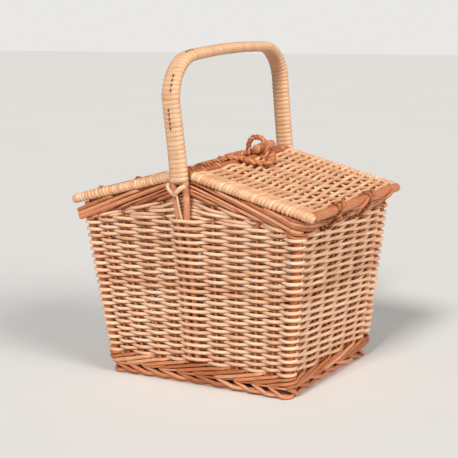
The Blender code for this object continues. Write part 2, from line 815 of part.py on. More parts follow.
def noose_slots():
    """Slots in the left lid where the noose goes down round the ridge stick."""
    width = NOOSE_ROD_RADIUS + NOOSE_SLOT_CLEARANCE
    wrap = RIDGE_STICK_RADIUS + GAP + 2 * NOOSE_ROD_RADIUS + 2 * NOOSE_SLOT_CLEARANCE
    slots = []
    for y in (NOOSE_ANCHOR_FRONT_Y, NOOSE_ANCHOR_BACK_Y):
        slots.append(edge_slot(LID_REACH - wrap, LID_REACH, y - width, y + width))
    return slots


def add_lid(hand, axis, brown, buff, slots):
    stick = turned_stick(HINGE_STICK_RADIUS, HINGE_STICK_LENGTH, HINGE_STICK_TAPER)
    add_object(f"{hand}_lid_hinge_stick", stick, brown, axis)
    add_object(f"{hand}_lid_frame", lid_frame(), brown, axis)
    panel = boolean(lid_panel(), joined(slots), "DIFFERENCE")
    add_object(f"{hand}_lid_weave", panel, buff, axis)


# Closure

def hoop_mesh():
    """An upright willow ring round the right lid's ridge stick."""
    steps = 20
    points = []
    for step in range(steps):
        angle = 2 * math.pi * (step + 0.5) / steps
        points.append((HOOP_X + HOOP_HALF_WIDTH * rounded(math.cos(angle), HOOP_ROUNDING),
                       HOOP_Y,
                       HOOP_HEIGHT + HOOP_HALF_HEIGHT * rounded(math.sin(angle),
                                                                HOOP_ROUNDING)))
    return rod(points, HOOP_ROD_RADIUS, closed=True)


def peg_mesh():
    """A short cut stick with its ends' edges taken off."""
    thin = 1 - PEG_CHAMFER / PEG_RADIUS
    places = (PEG_FRONT_Y, PEG_FRONT_Y + PEG_CHAMFER, PEG_BACK_Y - PEG_CHAMFER, PEG_BACK_Y)
    points = [(PEG_X, y, peg_height()) for y in places]
    return rod(points, PEG_RADIUS, resolution=4, sizes=[thin, 1, 1, thin])


def noose_wrap(y, direction):
    """Half turn of the noose down round the left lid's ridge stick, seen along Y."""
    steps = 5
    turn = (RIDGE_STICK_RADIUS + GAP + NOOSE_ROD_RADIUS) / math.cos(math.pi / 2 / steps)
    points = []
    for step in range(steps + 1):
        angle = math.pi / 2 + math.pi * step / steps
        points.append((-RIDGE_STICK_X + turn * math.cos(angle), y,
                       RIDGE_STICK_HEIGHT + turn * math.sin(angle)))
    return points if direction > 0 else points[::-1]


def noose_mesh():
    """One closed loop: out over the ridge, round the hoop and back to the stick."""
    reach = NOOSE_REACH_X
    back = NOOSE_BACK_Y
    front = NOOSE_ANCHOR_FRONT_Y
    along_shares = ((0.25, 0.14), (0.62, 0.34), (0.9, 0.56), (1.0, 0.76), (0.9, 0.92),
                    (0.66, 1.0), (0.34, 1.0), (0.05, 0.96), (-0.13, 0.84), (-0.2, 0.66))
    points = noose_wrap(NOOSE_ANCHOR_FRONT_Y, -1)
    for share_x, share_y in along_shares:
        x = share_x * reach
        points.append((x, front + share_y * (back - front), noose_height(x)))
    points += noose_wrap(NOOSE_ANCHOR_BACK_Y, 1)
    return rod(points, NOOSE_ROD_RADIUS, closed=True)


def main():
    clear_scene()
    buff = make_material("buff_willow", (0.74, 0.45, 0.24), 0.55)
    brown = make_material("brown_willow", (0.45, 0.18, 0.075), 0.5)
    cane = make_material("split_cane", (0.82, 0.56, 0.30), 0.45)

    channels = stake_channels()
    loops = joined([hinge_loop(side, y, GAP) for _, side, y in loop_places()])
    rods = handle_channels()

    add_foot_border(brown)
    add_wale(brown, channels)
    add_floor(buff)
    add_uprights(brown)
    add_walls(buff, channels, rods, loops)
    add_top_border(brown, loops)
    add_hinge_loops(brown)
    add_handle(brown, cane, rods)

    left_axis = add_axis("left_lid_axis", (-HINGE_X, 0, HINGE_HEIGHT), (0, -LID_ANGLE, 0))
    right_axis = add_axis("right_lid_axis", (HINGE_X, 0, HINGE_HEIGHT),
                          (0, -LID_ANGLE, math.pi))
    add_lid("left", left_axis, brown, buff, loop_slots(1) + noose_slots())
    add_lid("right", right_axis, brown, buff, loop_slots(-1) + [hoop_slot()])

    add_object("closure_hoop", from_axis(hoop_mesh(), right_axis), brown, right_axis)
    peg_axis = add_axis("peg_axis", (PEG_X, PEG_FRONT_Y, peg_height()))
    add_object("closure_peg", from_axis(peg_mesh(), peg_axis), brown, peg_axis)
    noose_axis = add_axis("noose_axis", (-RIDGE_STICK_X, NOOSE_ANCHOR_FRONT_Y,
                                         RIDGE_STICK_HEIGHT))
    add_object("closure_noose", from_axis(noose_mesh(), noose_axis), brown, noose_axis)


main()
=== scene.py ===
"""Looks of the willow pie basket: every rod of its weave, its lids, handle and closure."""
import itertools
import math

import bmesh
import bpy
from mathutils import Matrix, Vector, noise


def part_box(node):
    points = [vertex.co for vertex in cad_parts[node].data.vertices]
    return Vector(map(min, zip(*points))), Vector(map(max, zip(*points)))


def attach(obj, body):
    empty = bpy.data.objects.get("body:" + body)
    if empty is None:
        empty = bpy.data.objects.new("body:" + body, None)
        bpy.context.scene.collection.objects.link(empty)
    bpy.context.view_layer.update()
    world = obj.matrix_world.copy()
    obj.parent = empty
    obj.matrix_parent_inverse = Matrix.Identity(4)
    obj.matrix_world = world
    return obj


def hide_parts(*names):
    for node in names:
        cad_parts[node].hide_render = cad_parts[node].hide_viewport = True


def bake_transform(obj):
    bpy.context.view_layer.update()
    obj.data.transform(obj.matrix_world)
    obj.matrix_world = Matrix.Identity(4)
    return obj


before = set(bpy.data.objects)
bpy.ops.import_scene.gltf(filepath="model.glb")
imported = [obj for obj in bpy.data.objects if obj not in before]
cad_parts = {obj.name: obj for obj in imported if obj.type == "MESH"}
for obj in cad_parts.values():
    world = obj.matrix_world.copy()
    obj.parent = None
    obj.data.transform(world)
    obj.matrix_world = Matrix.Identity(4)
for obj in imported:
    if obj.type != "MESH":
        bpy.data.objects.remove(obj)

bl_info = {
    "name": "Willow Pie Basket",
    "version": (1, 0, 0),
    "blender": (4, 5, 0),
    "location": "3D View > Sidebar > Basket",
    "description": "Weaves a willow pie basket with two lids and a cane-bound handle",
    "category": "Add Mesh",
}

# The basket's lines, repeated from the CAD model. The stake line is the middle of the wall.
FLOOR_LENGTH, FLOOR_WIDTH = 0.2650, 0.2148
RIM_LENGTH, RIM_WIDTH, RIM_HEIGHT = 0.3180, 0.2390, 0.2115
CORNER_TURN = 0.0070
WALE_BOTTOM, WALE_TOP = 0.0173, 0.0307
BORDER_HEIGHT = 0.0215
HINGE_X, HINGE_HEIGHT = 0.1800, 0.2395
RIDGE_X, RIDGE_HEIGHT = 0.0085, 0.2820
LID_HALF_WIDTH = 0.1250
LID_ROLL_RADIUS = 0.0064
HINGE_STICK_RADIUS = 0.0058
RIDGE_STICK_RADIUS = 0.0039
LID_SLOPE = (RIDGE_HEIGHT - HINGE_HEIGHT) / (HINGE_X - RIDGE_X)
LID_ANGLE = math.atan(LID_SLOPE)
LID_REACH = math.hypot(HINGE_X - RIDGE_X, RIDGE_HEIGHT - HINGE_HEIGHT)
BORDER_BOTTOM_DROP = LID_ROLL_RADIUS / math.cos(LID_ANGLE) + 0.0003 + BORDER_HEIGHT
GABLE_FOOT = 0.2163

# Uprights, numbered round the basket from the front left corner post
LONG_SHARES = (-0.82, -0.64, -0.44, -0.23, 0, 0.23, 0.44, 0.64, 0.82)
# The handle's front rods stand a little left of the middle, so the weave does so too
FRONT_SHARES = LONG_SHARES[:4] + (-0.024,) + LONG_SHARES[5:]
END_SHARES = (-0.82, -0.49, -0.17, 0.17, 0.49, 0.82)
POSTS = (0, 10, 17, 27)
BOWS = (5, 22)
UPRIGHTS = 34
UPRIGHT_SPACING = 0.033
WALLS = {"front": (0, 10), "right": (10, 17), "back": (17, 27), "left": (27, 34)}
SIDES = (("left", -1), ("right", 1))

# How far the middle line of a weaver stands off the stake line
STAKE_REACH = 0.0039
BOW_REACH = 0.0061
POST_REACH_OUT, POST_REACH_IN = 0.0074, -0.0062


# Colours and materials

def linear(text):
    """An sRGB hex colour as linear light."""
    values = [int(text[place:place + 2], 16) / 255 for place in (1, 3, 5)]
    return tuple(v / 12.92 if v <= 0.04045 else ((v + 0.055) / 1.055) ** 2.4
                 for v in values)


def add_node(tree, kind, links=None, **settings):
    """Add a node: settings are its own, links are values or sockets for its inputs."""
    node = tree.nodes.new(kind)
    for name, value in settings.items():
        setattr(node, name, value)
    for socket, value in (links or {}).items():
        if isinstance(value, bpy.types.NodeSocket):
            tree.links.new(value, node.inputs[socket])
        else:
            node.inputs[socket].default_value = value
    return node


def new_material(name):
    """An empty node material and its shader."""
    finish = bpy.data.materials.new(name)
    finish.use_nodes = True
    return finish, finish.node_tree, finish.node_tree.nodes["Principled BSDF"]


# Metres between the maps of two rods, and between places where an upright changes tone
MAP_STEP = 0.1
UPRIGHT_STEP = 0.02


def rod_coordinates(tree, upright):
    """Metres along a rod, metres round it and the rod's number.

    A rod that this script lays has a map: x runs along it, y round it, and each rod's map
    starts MAP_STEP past the last one's. A CAD upright reads its own Object coordinates in
    place of that.
    """
    if upright:
        place = add_node(tree, "ShaderNodeTexCoord").outputs["Object"]
        parts = add_node(tree, "ShaderNodeSeparateXYZ", {"Vector": place})
        around = add_node(tree, "ShaderNodeMath", {0: parts.outputs["X"],
                                                   1: parts.outputs["Y"]})
        number = add_node(tree, "ShaderNodeMath",
                          {0: around.outputs[0], 1: UPRIGHT_STEP}, operation="SNAP")
        return parts.outputs["Z"], around.outputs[0], number.outputs[0]
    place = add_node(tree, "ShaderNodeUVMap", uv_map="rod").outputs["UV"]
    parts = add_node(tree, "ShaderNodeSeparateXYZ", {"Vector": place})
    number = add_node(tree, "ShaderNodeMath", {0: parts.outputs["Y"], 1: MAP_STEP},
                      operation="SNAP")
    return parts.outputs["X"], parts.outputs["Y"], number.outputs[0]


def willow_material(name, colours, roughness, spread=0.6, grain=0.35, upright=False):
    """Willow: each rod has its own tone, drifting along its length, under fine grain."""
    finish, tree, shader = new_material(name)
    along, around, number = rod_coordinates(tree, upright)
    tone = add_node(tree, "ShaderNodeTexWhiteNoise", {"W": number},
                    noise_dimensions="1D").outputs["Value"]
    drift_place = add_node(tree, "ShaderNodeCombineXYZ", {"X": along, "Y": number})
    # A rod changes tone over about 50 mm, as bark stain and boiling left it
    drift = add_node(tree, "ShaderNodeTexNoise",
                     {"Vector": drift_place.outputs[0], "Scale": 20.0, "Detail": 2.0})
    blend = add_node(tree, "ShaderNodeMix", {"Factor": spread, "A": drift.outputs[0],
                                             "B": tone}, data_type="FLOAT")
    ramp = add_node(tree, "ShaderNodeValToRGB", {"Fac": blend.outputs[0]})
    places = (0.12, 0.38, 0.62, 0.88)
    ramp.color_ramp.elements[0].position = places[0]
    ramp.color_ramp.elements[1].position = places[3]
    for place in places[1:3]:
        ramp.color_ramp.elements.new(place)
    for element, colour in zip(ramp.color_ramp.elements, colours):
        element.color = (*linear(colour), 1)
    # Grain runs along the rod: streaks about 0.7 mm wide and 12 mm long, drawn wider than
    # real willow's so that they show
    long_place = add_node(tree, "ShaderNodeMath", {0: along, 1: 80.0},
                          operation="MULTIPLY")
    round_place = add_node(tree, "ShaderNodeMath", {0: around, 1: 1400.0},
                           operation="MULTIPLY")
    grain_place = add_node(tree, "ShaderNodeCombineXYZ", {"X": long_place.outputs[0],
                                                          "Y": round_place.outputs[0]})
    streak = add_node(tree, "ShaderNodeTexNoise",
                      {"Vector": grain_place.outputs[0], "Scale": 1.0, "Detail": 3.0})
    shade = add_node(tree, "ShaderNodeMapRange",
                     {"Value": streak.outputs[0], "From Min": 0.3, "From Max": 0.7,
                      "To Min": 1 - grain, "To Max": 1 + grain / 3})
    colour = add_node(tree, "ShaderNodeMix", {"Factor": 1.0,
                                              "A": ramp.outputs[0],
                                              "B": shade.outputs[0]},
                      data_type="RGBA", blend_type="MULTIPLY")
    bump = add_node(tree, "ShaderNodeBump", {"Height": streak.outputs[0],
                                             "Strength": 0.25, "Distance": 0.0003})
    tree.links.new(colour.outputs["Result"], shader.inputs["Base Color"])
    tree.links.new(bump.outputs[0], shader.inputs["Normal"])
    shader.inputs["Roughness"].default_value = roughness
    shader.inputs["Specular IOR Level"].default_value = 0.35
    return finish


def cut_end_material(name, dark, pale):
    """A cut willow end: wood mottled in specks of about 1 mm, dull from the knife."""
    finish, tree, shader = new_material(name)
    place = add_node(tree, "ShaderNodeTexCoord").outputs["Object"]
    speck = add_node(tree, "ShaderNodeTexNoise", {"Vector": place, "Scale": 900.0})
    ramp = add_node(tree, "ShaderNodeValToRGB", {"Fac": speck.outputs[0]})
    ramp.color_ramp.elements[0].color = (*linear(dark), 1)
    ramp.color_ramp.elements[1].color = (*linear(pale), 1)
    tree.links.new(ramp.outputs[0], shader.inputs["Base Color"])
    shader.inputs["Roughness"].default_value = 0.8
    return finish


def plain_material(name, colour, roughness):
    """Painted board: dull and even, with a faint mottle about 300 mm across."""
    finish, tree, shader = new_material(name)
    place = add_node(tree, "ShaderNodeTexCoord").outputs["Object"]
    mottle = add_node(tree, "ShaderNodeTexNoise", {"Vector": place, "Scale": 3.0})
    ramp = add_node(tree, "ShaderNodeValToRGB", {"Fac": mottle.outputs[0]})
    ramp.color_ramp.elements[0].color = (*[part * 0.96 for part in colour], 1)
    ramp.color_ramp.elements[1].color = (*colour, 1)
    tree.links.new(ramp.outputs[0], shader.inputs["Base Color"])
    shader.inputs["Roughness"].default_value = roughness
    return finish


def finishes():
    """The finishes by name, made once."""
    if "cut_willow_end" not in bpy.data.materials:
        # Willow cut with a knife: dull, pale when fresh and tan in brown willow
        cut_end_material("cut_willow_end", "#A77B55", "#E0BD92")
        cut_end_material("aged_willow_end", "#A5683E", "#CF9560")
        # Buff willow: boiled in its bark and peeled, from straw to pinkish tan, satin
        willow_material("buff_willow_rods", ("#D39A75", "#E3AF8B", "#EFC3A1", "#F8D8BA"),
                        roughness=0.5, spread=0.4, grain=0.3)
        # The lids' willow: from the same boiling, with fewer dark rods
        willow_material("pale_willow_rods", ("#D79C73", "#E3AD84", "#EFC099", "#F7D4B1"),
                        roughness=0.48, spread=0.4, grain=0.3)
        # Stakes of the walls: the same willow, rougher and pinker; the much darker tones
        # are painted shade of the gaps between the rows, where the stakes show
        willow_material("buff_willow_stakes_painted_shade", ("#9E5A38", "#AE6843", "#BF7A53", "#CE8C64"),
                        roughness=0.55, upright=True)
        # Hinge sticks: a lighter copy of the brown willow; the lighter tone is painted
        # light, standing in for light that falls short on them
        willow_material("brown_willow_sticks_painted_light",
                        ("#B0663F", "#C97E54", "#DE976C", "#EFB891"), roughness=0.4)
        # Brown willow: boiled longer, red-brown, in the borders and sticks
        willow_material("brown_willow_rods", ("#A05A35", "#BC7148", "#D48B60", "#E8AE88"),
                        roughness=0.42, grain=0.4)
        willow_material("brown_willow_posts", ("#A85C38", "#BC7048", "#CC8258", "#DA976C"),
                        roughness=0.45, upright=True)
        # Loops of the right lid's hinge: a darker brown willow than the other brown rods
        willow_material("dark_willow_rods", ("#7F4128", "#955131", "#A9623E", "#BF774F"),
                        roughness=0.42, grain=0.4)
        # Leader strips under the handle's binding, dark where they show between its turns:
        # their darkness is painted shade of those gaps
        willow_material("leader_cane_painted_shade", ("#3E2417", "#4C2D1D", "#5A3725", "#6A432E"),
                        roughness=0.5)
        # Split cane: the smooth skin of rattan, pale and slightly glossy
        willow_material("split_cane_skin", ("#D5A27C", "#E1B38D", "#EAC29D", "#F3D2B0"),
                        roughness=0.42, spread=0.3, grain=0.35)
    return bpy.data.materials


# Rods

# Rods with a number of their own, such as rows laid in several pieces, stay below this
rod_numbers = itertools.count(100)


def rod_mesh(points, radii, resolution, number, start):
    """A rod as a curve with a round bevel, turned into a mesh that carries its own map."""
    curve = bpy.data.curves.new("rod", "CURVE")
    curve.dimensions = "3D"
    curve.twist_mode = "MINIMUM"
    curve.use_fill_caps = True
    curve.bevel_depth = 1
    curve.bevel_resolution = resolution
    spline = curve.splines.new("POLY")
    spline.points.add(len(points) - 1)
    for place, point, radius in zip(spline.points, points, radii):
        place.co = (*point, 1)
        place.radius = radius
    source = bpy.data.objects.new("rod", curve)
    mesh = bpy.data.meshes.new_from_object(source)
    bpy.data.objects.remove(source, do_unlink=True)
    bpy.data.curves.remove(curve)
    length = sum((Vector(b) - Vector(a)).length for a, b in zip(points, points[1:]))
    around = 2 * math.pi * sum(radii) / len(radii)
    layer = mesh.uv_layers[0]
    layer.name = "rod"
    for corner in layer.uv:
        x, y = corner.vector
        corner.vector = (start + x * length, y * around + MAP_STEP * number + 0.01)
    # Only the end caps have triangles
    for face in mesh.polygons:
        face.material_index = 1 if len(face.vertices) == 3 else 0
    return mesh


def add_rods(name, rods, finish, body, nodes=(), resolution=2, ends="cut_willow_end"):
    """Put a bundle of rods in the scene as one piece of a body.

    A rod is its points and its radius, or one radius for each point. A rod that is laid
    in several pieces adds its number, and how far along it this piece starts. A bundle
    given no body is not attached to one.
    """
    work = bmesh.new()
    for points, radii, *place in rods:
        if not hasattr(radii, "__len__"):
            radii = [radii] * len(points)
        number, start = place or (next(rod_numbers), 0.0)
        mesh = rod_mesh(points, radii, resolution, number, start)
        work.from_mesh(mesh)
        bpy.data.meshes.remove(mesh)
    bmesh.ops.remove_doubles(work, verts=work.verts, dist=1e-7)
    bmesh.ops.recalc_face_normals(work, faces=work.faces)
    mesh = bpy.data.meshes.new(name)
    work.to_mesh(mesh)
    work.free()
    mesh.shade_smooth()
    mesh.set_sharp_from_angle(angle=math.radians(55))
    mesh.materials.append(finishes()[finish])
    mesh.materials.append(finishes()[ends])
    piece = bpy.data.objects.new(name, mesh)
    bpy.context.scene.collection.objects.link(piece)
    if body:
        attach(piece, body)
    if nodes:
        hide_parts(*nodes)
    return piece


def eased(share):
    """A share from 0 to 1, slow at both ends."""
    share = min(1, max(0, share))
    return share * share * (3 - 2 * share)


def wander(place, seed):
    """A smooth, repeatable number from about -1 to 1."""
    return 2 * noise.noise(Vector((place, seed * 7.31, seed * 1.7)))


def framed(path, closed=False, guide=None):
    """Each point of a path with two directions across it, and the length up to it."""
    lengths = [0]
    for a, b in zip(path, path[1:]):
        lengths.append(lengths[-1] + (Vector(b) - Vector(a)).length)
    frames = []
    for index, point in enumerate(path):
        before = Vector(path[max(index - 1, 0)])
        after = Vector(path[min(index + 1, len(path) - 1)])
        if closed and index in (0, len(path) - 1):
            before, after = Vector(path[-2]), Vector(path[1])
        along = (after - before).normalized()
        if guide is None:
            guide = along.orthogonal().normalized()
        guide = (guide - along * guide.dot(along)).normalized()
        frames.append((Vector(point), guide.copy(), along.cross(guide)))
    return frames, lengths


def twisted(path, strands, offset, radius, pitch, closed=False):
    """Strands twisted about a path, as rods."""
    frames, lengths = framed(path, closed)
    total = lengths[-1]
    turns = max(1, round(total / pitch)) if closed else total / pitch
    drift = 0
    if closed:
        first, last = frames[0], frames[-1]
        drift = math.atan2(first[1].dot(last[2]), first[1].dot(last[1]))
    rods = []
    for strand in range(strands):
        points = []
        for (point, side, up), reached in zip(frames, lengths):
            share = reached / total
            angle = 2 * math.pi * (turns * share + strand / strands) + drift * share
            spoke = side * math.cos(angle) + up * math.sin(angle)
            points.append(point + spoke * offset)
        rods.append((points, radius))
    return rods


def braided(path, width, height, radius, pitch, guide):
    """Three strands plaited flat along a path: guide points across it at its start."""
    frames, lengths = framed(path, guide=Vector(guide))
    rods = []
    for strand in range(3):
        points = []
        for (point, side, up), reached in zip(frames, lengths):
            angle = 2 * math.pi * (reached / pitch + strand / 3)
            points.append(point + side * math.sin(angle) * width
                          + up * math.sin(2 * angle) * height)
        rods.append((points, radius))
    return rods


def refined(path, step):
    """A path with points every so often, rounded through its corners by a spline."""
    points = [Vector(point) for point in path]
    fine = []
    for index in range(len(points) - 1):
        a = points[max(index - 1, 0)]
        b, c = points[index], points[index + 1]
        d = points[min(index + 2, len(points) - 1)]
        count = max(1, round((c - b).length / step))
        for place in range(count):
            t = place / count
            fine.append(0.5 * (2 * b + (c - a) * t + (2 * a - 5 * b + 4 * c - d) * t * t
                               + (3 * b - a - 3 * c + d) * t * t * t))
    return fine + [points[-1]]


# Places on the basket

def half_length(z):
    """Half the length of the stake line at a height."""
    return FLOOR_LENGTH / 2 + (RIM_LENGTH - FLOOR_LENGTH) / 2 * z / RIM_HEIGHT


def half_width(z):
    """Half the width of the stake line at a height."""
    return FLOOR_WIDTH / 2 + (RIM_WIDTH - FLOOR_WIDTH) / 2 * z / RIM_HEIGHT


def lid_height(x):
    """Height of the closed lids' middle plane, eased over the ridge."""
    ridge_round = 0.006
    return HINGE_HEIGHT + LID_SLOPE * (HINGE_X - math.hypot(x, ridge_round))


def border_bottom(x):
    """Height of the top border's lower edge."""
    return lid_height(x) - BORDER_BOTTOM_DROP


def stations(z):
    """Distances of all uprights along the stake line, from the front left post."""
    half_arc = math.pi / 4 * CORNER_TURN
    places = []
    start = 0
    for quarter in range(4):
        even = quarter % 2 == 0
        half = half_length(z) if even else half_width(z)
        run = 2 * (half - CORNER_TURN)
        places.append(start)
        for share in (FRONT_SHARES, END_SHARES, LONG_SHARES, END_SHARES)[quarter]:
            places.append(start + half_arc + run / 2 + share * half)
        start += run + 2 * half_arc
    return places + [start]


def walk(distance, z):
    """Point and outward normal of the stake line at a distance from the front left post."""
    halves = (half_length(z) - CORNER_TURN, half_width(z) - CORNER_TURN)
    half_arc = math.pi / 4 * CORNER_TURN
    left = distance
    for quarter in range(4):
        half, near = halves[quarter % 2], halves[(quarter + 1) % 2]
        if left <= 2 * half + 2 * half_arc or quarter == 3:
            straight = left - half_arc
            base = min(max(straight, 0), 2 * half)
            bend = (straight - base) / CORNER_TURN
            angle = math.pi / 2 * quarter
            along = Vector((math.cos(angle), math.sin(angle), 0))
            out = Vector((along.y, -along.x, 0))
            normal = out * math.cos(bend) + along * math.sin(bend)
            corner = along * (base - half) + out * near
            return corner + normal * CORNER_TURN + Vector((0, 0, z)), normal
        left -= 2 * half + 2 * half_arc


def ring_place(u, z):
    """Point and normal at upright number u, which may lie between two, at height z."""
    places = stations(z)
    left = u % UPRIGHTS
    index = int(left)
    return walk(places[index] + (left - index) * (places[index + 1] - places[index]), z)


def ring_point(u, z, out):
    """Point at upright number u and height z, some way out of the stake line."""
    point, normal = ring_place(u, z)
    return point + normal * out


def bow_offset(z):
    """How far out of the stake line the handle's rods stand at a height in the wall."""
    bend_start, bend_run, bend_out = 0.165, 0.058, 0.0052
    return bend_out * eased((z - bend_start) / bend_run)


def reach_at(index, outside, z):
    """How far a weaver's middle line stands off the stake line at an upright."""
    index %= UPRIGHTS
    if index in POSTS:
        return POST_REACH_OUT if outside else POST_REACH_IN
    if index in BOWS:
        return bow_offset(z) + BOW_REACH if outside else bow_offset(z) - BOW_REACH
    return STAKE_REACH if outside else -STAKE_REACH


def swing(u, parity, z, behind_bow=False):
    """Offset of a weaver that runs out past one upright and in behind the next."""
    index = math.floor(u)
    share = u - index
    reaches = []
    for place in (index, index + 1):
        outside = (place + parity) % 2 == 0
        if behind_bow and place % UPRIGHTS in BOWS:
            outside = False
        reaches.append(reach_at(place, outside, z))
    # The handle's two rods take up a fifth of the space on either side
    bow_share = 0.2
    if index % UPRIGHTS in BOWS:
        share = max(0, (share - bow_share) / (1 - bow_share))
    if (index + 1) % UPRIGHTS in BOWS:
        share = min(1, share / (1 - bow_share))
    return reaches[0] + (reaches[1] - reaches[0]) * (1 - math.cos(math.pi * share)) / 2


def woven(places, at, row, height):
    """Offset of a weaver that goes over one of these places and under the next."""
    for index in range(len(places) - 1):
        if at <= places[index + 1]:
            share = (at - places[index]) / (places[index + 1] - places[index])
            sign = 1 if (index + row) % 2 == 0 else -1
            return sign * height * math.cos(math.pi * share)
    return 0.0


def squared(angle, power):
    """Cosine and sine of an angle, pushed out from a circle towards a square."""
    return [math.copysign(abs(part) ** power, part)
            for part in (math.cos(angle), math.sin(angle))]


# Settings that a user may change

def colour_setting(name, description, text):
    """A colour that a user may change, from an sRGB hex value."""
    return bpy.props.FloatVectorProperty(name=name, description=description, size=3,
                                         subtype="COLOR", min=0, max=1,
                                         default=linear(text))


def length_setting(name, description, value):
    """A length that a user may change."""
    return bpy.props.FloatProperty(name=name, description=description, default=value,
                                   min=0, unit="LENGTH", subtype="DISTANCE", precision=5)


def strength_setting(name, description, value):
    """A light's strength that a user may change."""
    return bpy.props.FloatProperty(name=name, description=description, default=value,
                                   min=0)


class BasketRodSettings(bpy.types.PropertyGroup):
    """Sizes of the rods."""

    weaver: length_setting("Weaver", "Diameter of a rod of the walls", 0.0046)
    row_pitch: length_setting("Row pitch", "Height of one row of the walls", 0.00465)
    border_rod: length_setting("Border rod", "Diameter of a rod of the top border", 0.0050)
    wale_rod: length_setting("Wale rod", "Diameter of a rod of the wale", 0.0050)
    foot_rod: length_setting("Foot rod", "Diameter of a rod of the foot border", 0.0058)
    lid_weaver: length_setting("Lid weaver", "Diameter of a rod of the lids", 0.0048)
    lid_pitch: length_setting("Lid pitch", "Distance between a lid's weavers", 0.0051)
    cane_pitch: length_setting("Cane pitch", "Width of one turn of the handle's cane",
                               0.0057)


class BasketStageSettings(bpy.types.PropertyGroup):
    """The studio."""

    floor: colour_setting("Floor", "Colour of the floor", "#DCDBD9")
    backdrop: colour_setting("Backdrop", "Colour behind the basket", "#EAE8E5")
    key: strength_setting("Key light", "Strength of the key light", 2.6)
    fill: strength_setting("Fill light", "Strength of the fill light", 2.2)
    sky: strength_setting("Sky", "Strength of the even light", 0.23)


# Walls

def row_heights(pitch, radius):
    """Middle heights of the level rows, fitted between the wale and the gable's foot."""
    low = WALE_TOP + radius
    high = GABLE_FOOT - radius
    count = round((high - low) / pitch)
    return [low + (high - low) * row / count for row in range(count + 1)]


def inside_cut(corner, row):
    """Number of the upright, at a corner or next to it, that a row passes inside."""
    return corner if (corner + row) % 2 else corner + 1


def level_row(row, z, start, stop, joint, radius):
    """Part of one level row: it tapers round the basket from its joint.

    The back and left walls have the thicker rods, so that less can be seen through them.
    """
    points = []
    radii = []
    per_space = 8
    thicker = 0.32
    count = round((stop - start) * per_space)
    before = (start - joint) % UPRIGHTS
    for step in range(count + 1):
        u = start + (stop - start) * step / count
        lift = 0.0004 * wander(u % UPRIGHTS * 0.35, row)
        lift += 0.00025 * wander(u % UPRIGHTS * 1.3, row + 50)
        points.append(ring_point(u, z + lift, swing(u, row % 2, z)))
        travelled = (before + u - start) / UPRIGHTS
        behind = eased(min(u % UPRIGHTS - POSTS[2] + 1, UPRIGHTS - u % UPRIGHTS))
        uneven = 1.05 - 0.10 * travelled + 0.05 * wander(u * 0.2, row + 9)
        radii.append(radius * (1 + thicker * behind) * uneven)
    return points, radii, row + 1, before * UPRIGHT_SPACING


# How far each row of a gable reaches from its middle, as a share of half the wall
GABLE_ENDS = (0.97, 0.64, 0.23, 0.82, 0.44, 0.23, 0.64, 0.97)


def gable_weights(share):
    """How much of its full height each of the gable's rows has at a share of the wall."""
    fade = 0.1
    return [min(1, max(0, (end - abs(share)) / fade)) for end in GABLE_ENDS]


def gable_row(row, first, radius):
    """One row of the gable, above the level rows of a long wall."""
    end = GABLE_ENDS[row]
    points = []
    radii = []
    steps = max(10, round(end * 80))
    least_weight, least_radius, end_run, tuck = 0.05, 0.0011, 0.05, 0.002
    for step in range(steps + 1):
        share = -end + 2 * end * step / steps
        x = share * RIM_LENGTH / 2
        weights = gable_weights(share)
        weights[row] = max(weights[row], least_weight)
        room = max(0, border_bottom(x) - GABLE_FOOT)
        below = sum(weights[:row]) + weights[row] / 2
        z = GABLE_FOOT + room * below / sum(weights)
        thick = min(radius, room * weights[row] / sum(weights) * 0.56 + 0.0004)
        u = first + place_of(share)
        offset = swing(u, row % 2, z, behind_bow=row >= 2)
        inside = min(1, (end - abs(share)) / end_run)
        points.append(ring_point(u, z, offset * inside - tuck * (1 - inside)))
        radii.append(max(thick, least_radius))
    return points, radii


def place_of(share):
    """Number, from its left corner, of the place at a share of a long wall."""
    shares = (-1.0,) + LONG_SHARES + (1.0,)
    for index in range(len(shares) - 1):
        if share <= shares[index + 1]:
            return index + (share - shares[index]) / (shares[index + 1] - shares[index])
    return len(shares) - 1


class BASKET_OT_walls(bpy.types.Operator):
    """Weave the four walls, row by row, in and out of the uprights"""

    bl_idname = "basket.walls"
    bl_label = "Walls"

    def execute(self, context):
        sizes = context.scene.basket_rods
        radius = sizes.weaver / 2
        rows = row_heights(sizes.row_pitch, radius)
        for wall, (first, last) in WALLS.items():
            rods = []
            for row, z in enumerate(rows):
                # The joints of the rows are spread round the basket
                joint = (row * 11 + 3) % UPRIGHTS
                begin, end = inside_cut(first, row), inside_cut(last, row)
                cuts = [begin, joint, end] if begin < joint < end else [begin, end]
                for start, stop in zip(cuts, cuts[1:]):
                    rods.append(level_row(row, z, start, stop, joint, radius))
            if wall in ("front", "back"):
                rods += [gable_row(row, first, radius) for row in range(len(GABLE_ENDS))]
            add_rods(f"{wall}_wall_rods", rods, "buff_willow_rods", "basket",
                     [f"{wall}_wall_weave"])
        return {"FINISHED"}


class BASKET_OT_uprights(bpy.types.Operator):
    """Give the stakes and corner posts their willow, and lay the handle's two bow rods"""

    bl_idname = "basket.uprights"
    bl_label = "Uprights"

    def execute(self, context):
        for name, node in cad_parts.items():
            # The stakes' finish is buff willow darkened with painted shade
            if "stake_" in name:
                give_finish(node, "buff_willow_stakes_painted_shade")
            if name.endswith("corner_post"):
                give_finish(node, "brown_willow_posts")
        for hand, side in SIDES:
            path = refined(bow_path(side), 0.006)
            radii = [BOW_ROD_RADIUS + 0.0002 * wander(step * 0.12, side + 5)
                     for step in range(len(path))]
            add_rods(f"handle_{hand}_rod", [(path, radii)], "brown_willow_rods", "basket",
                     [f"handle_{hand}_bow_rod"], resolution=4)
        return {"FINISHED"}


def give_finish(node, finish):
    """Put a finish in all of a CAD node's material slots."""
    for slot in node.material_slots:
        slot.material = finishes()[finish]


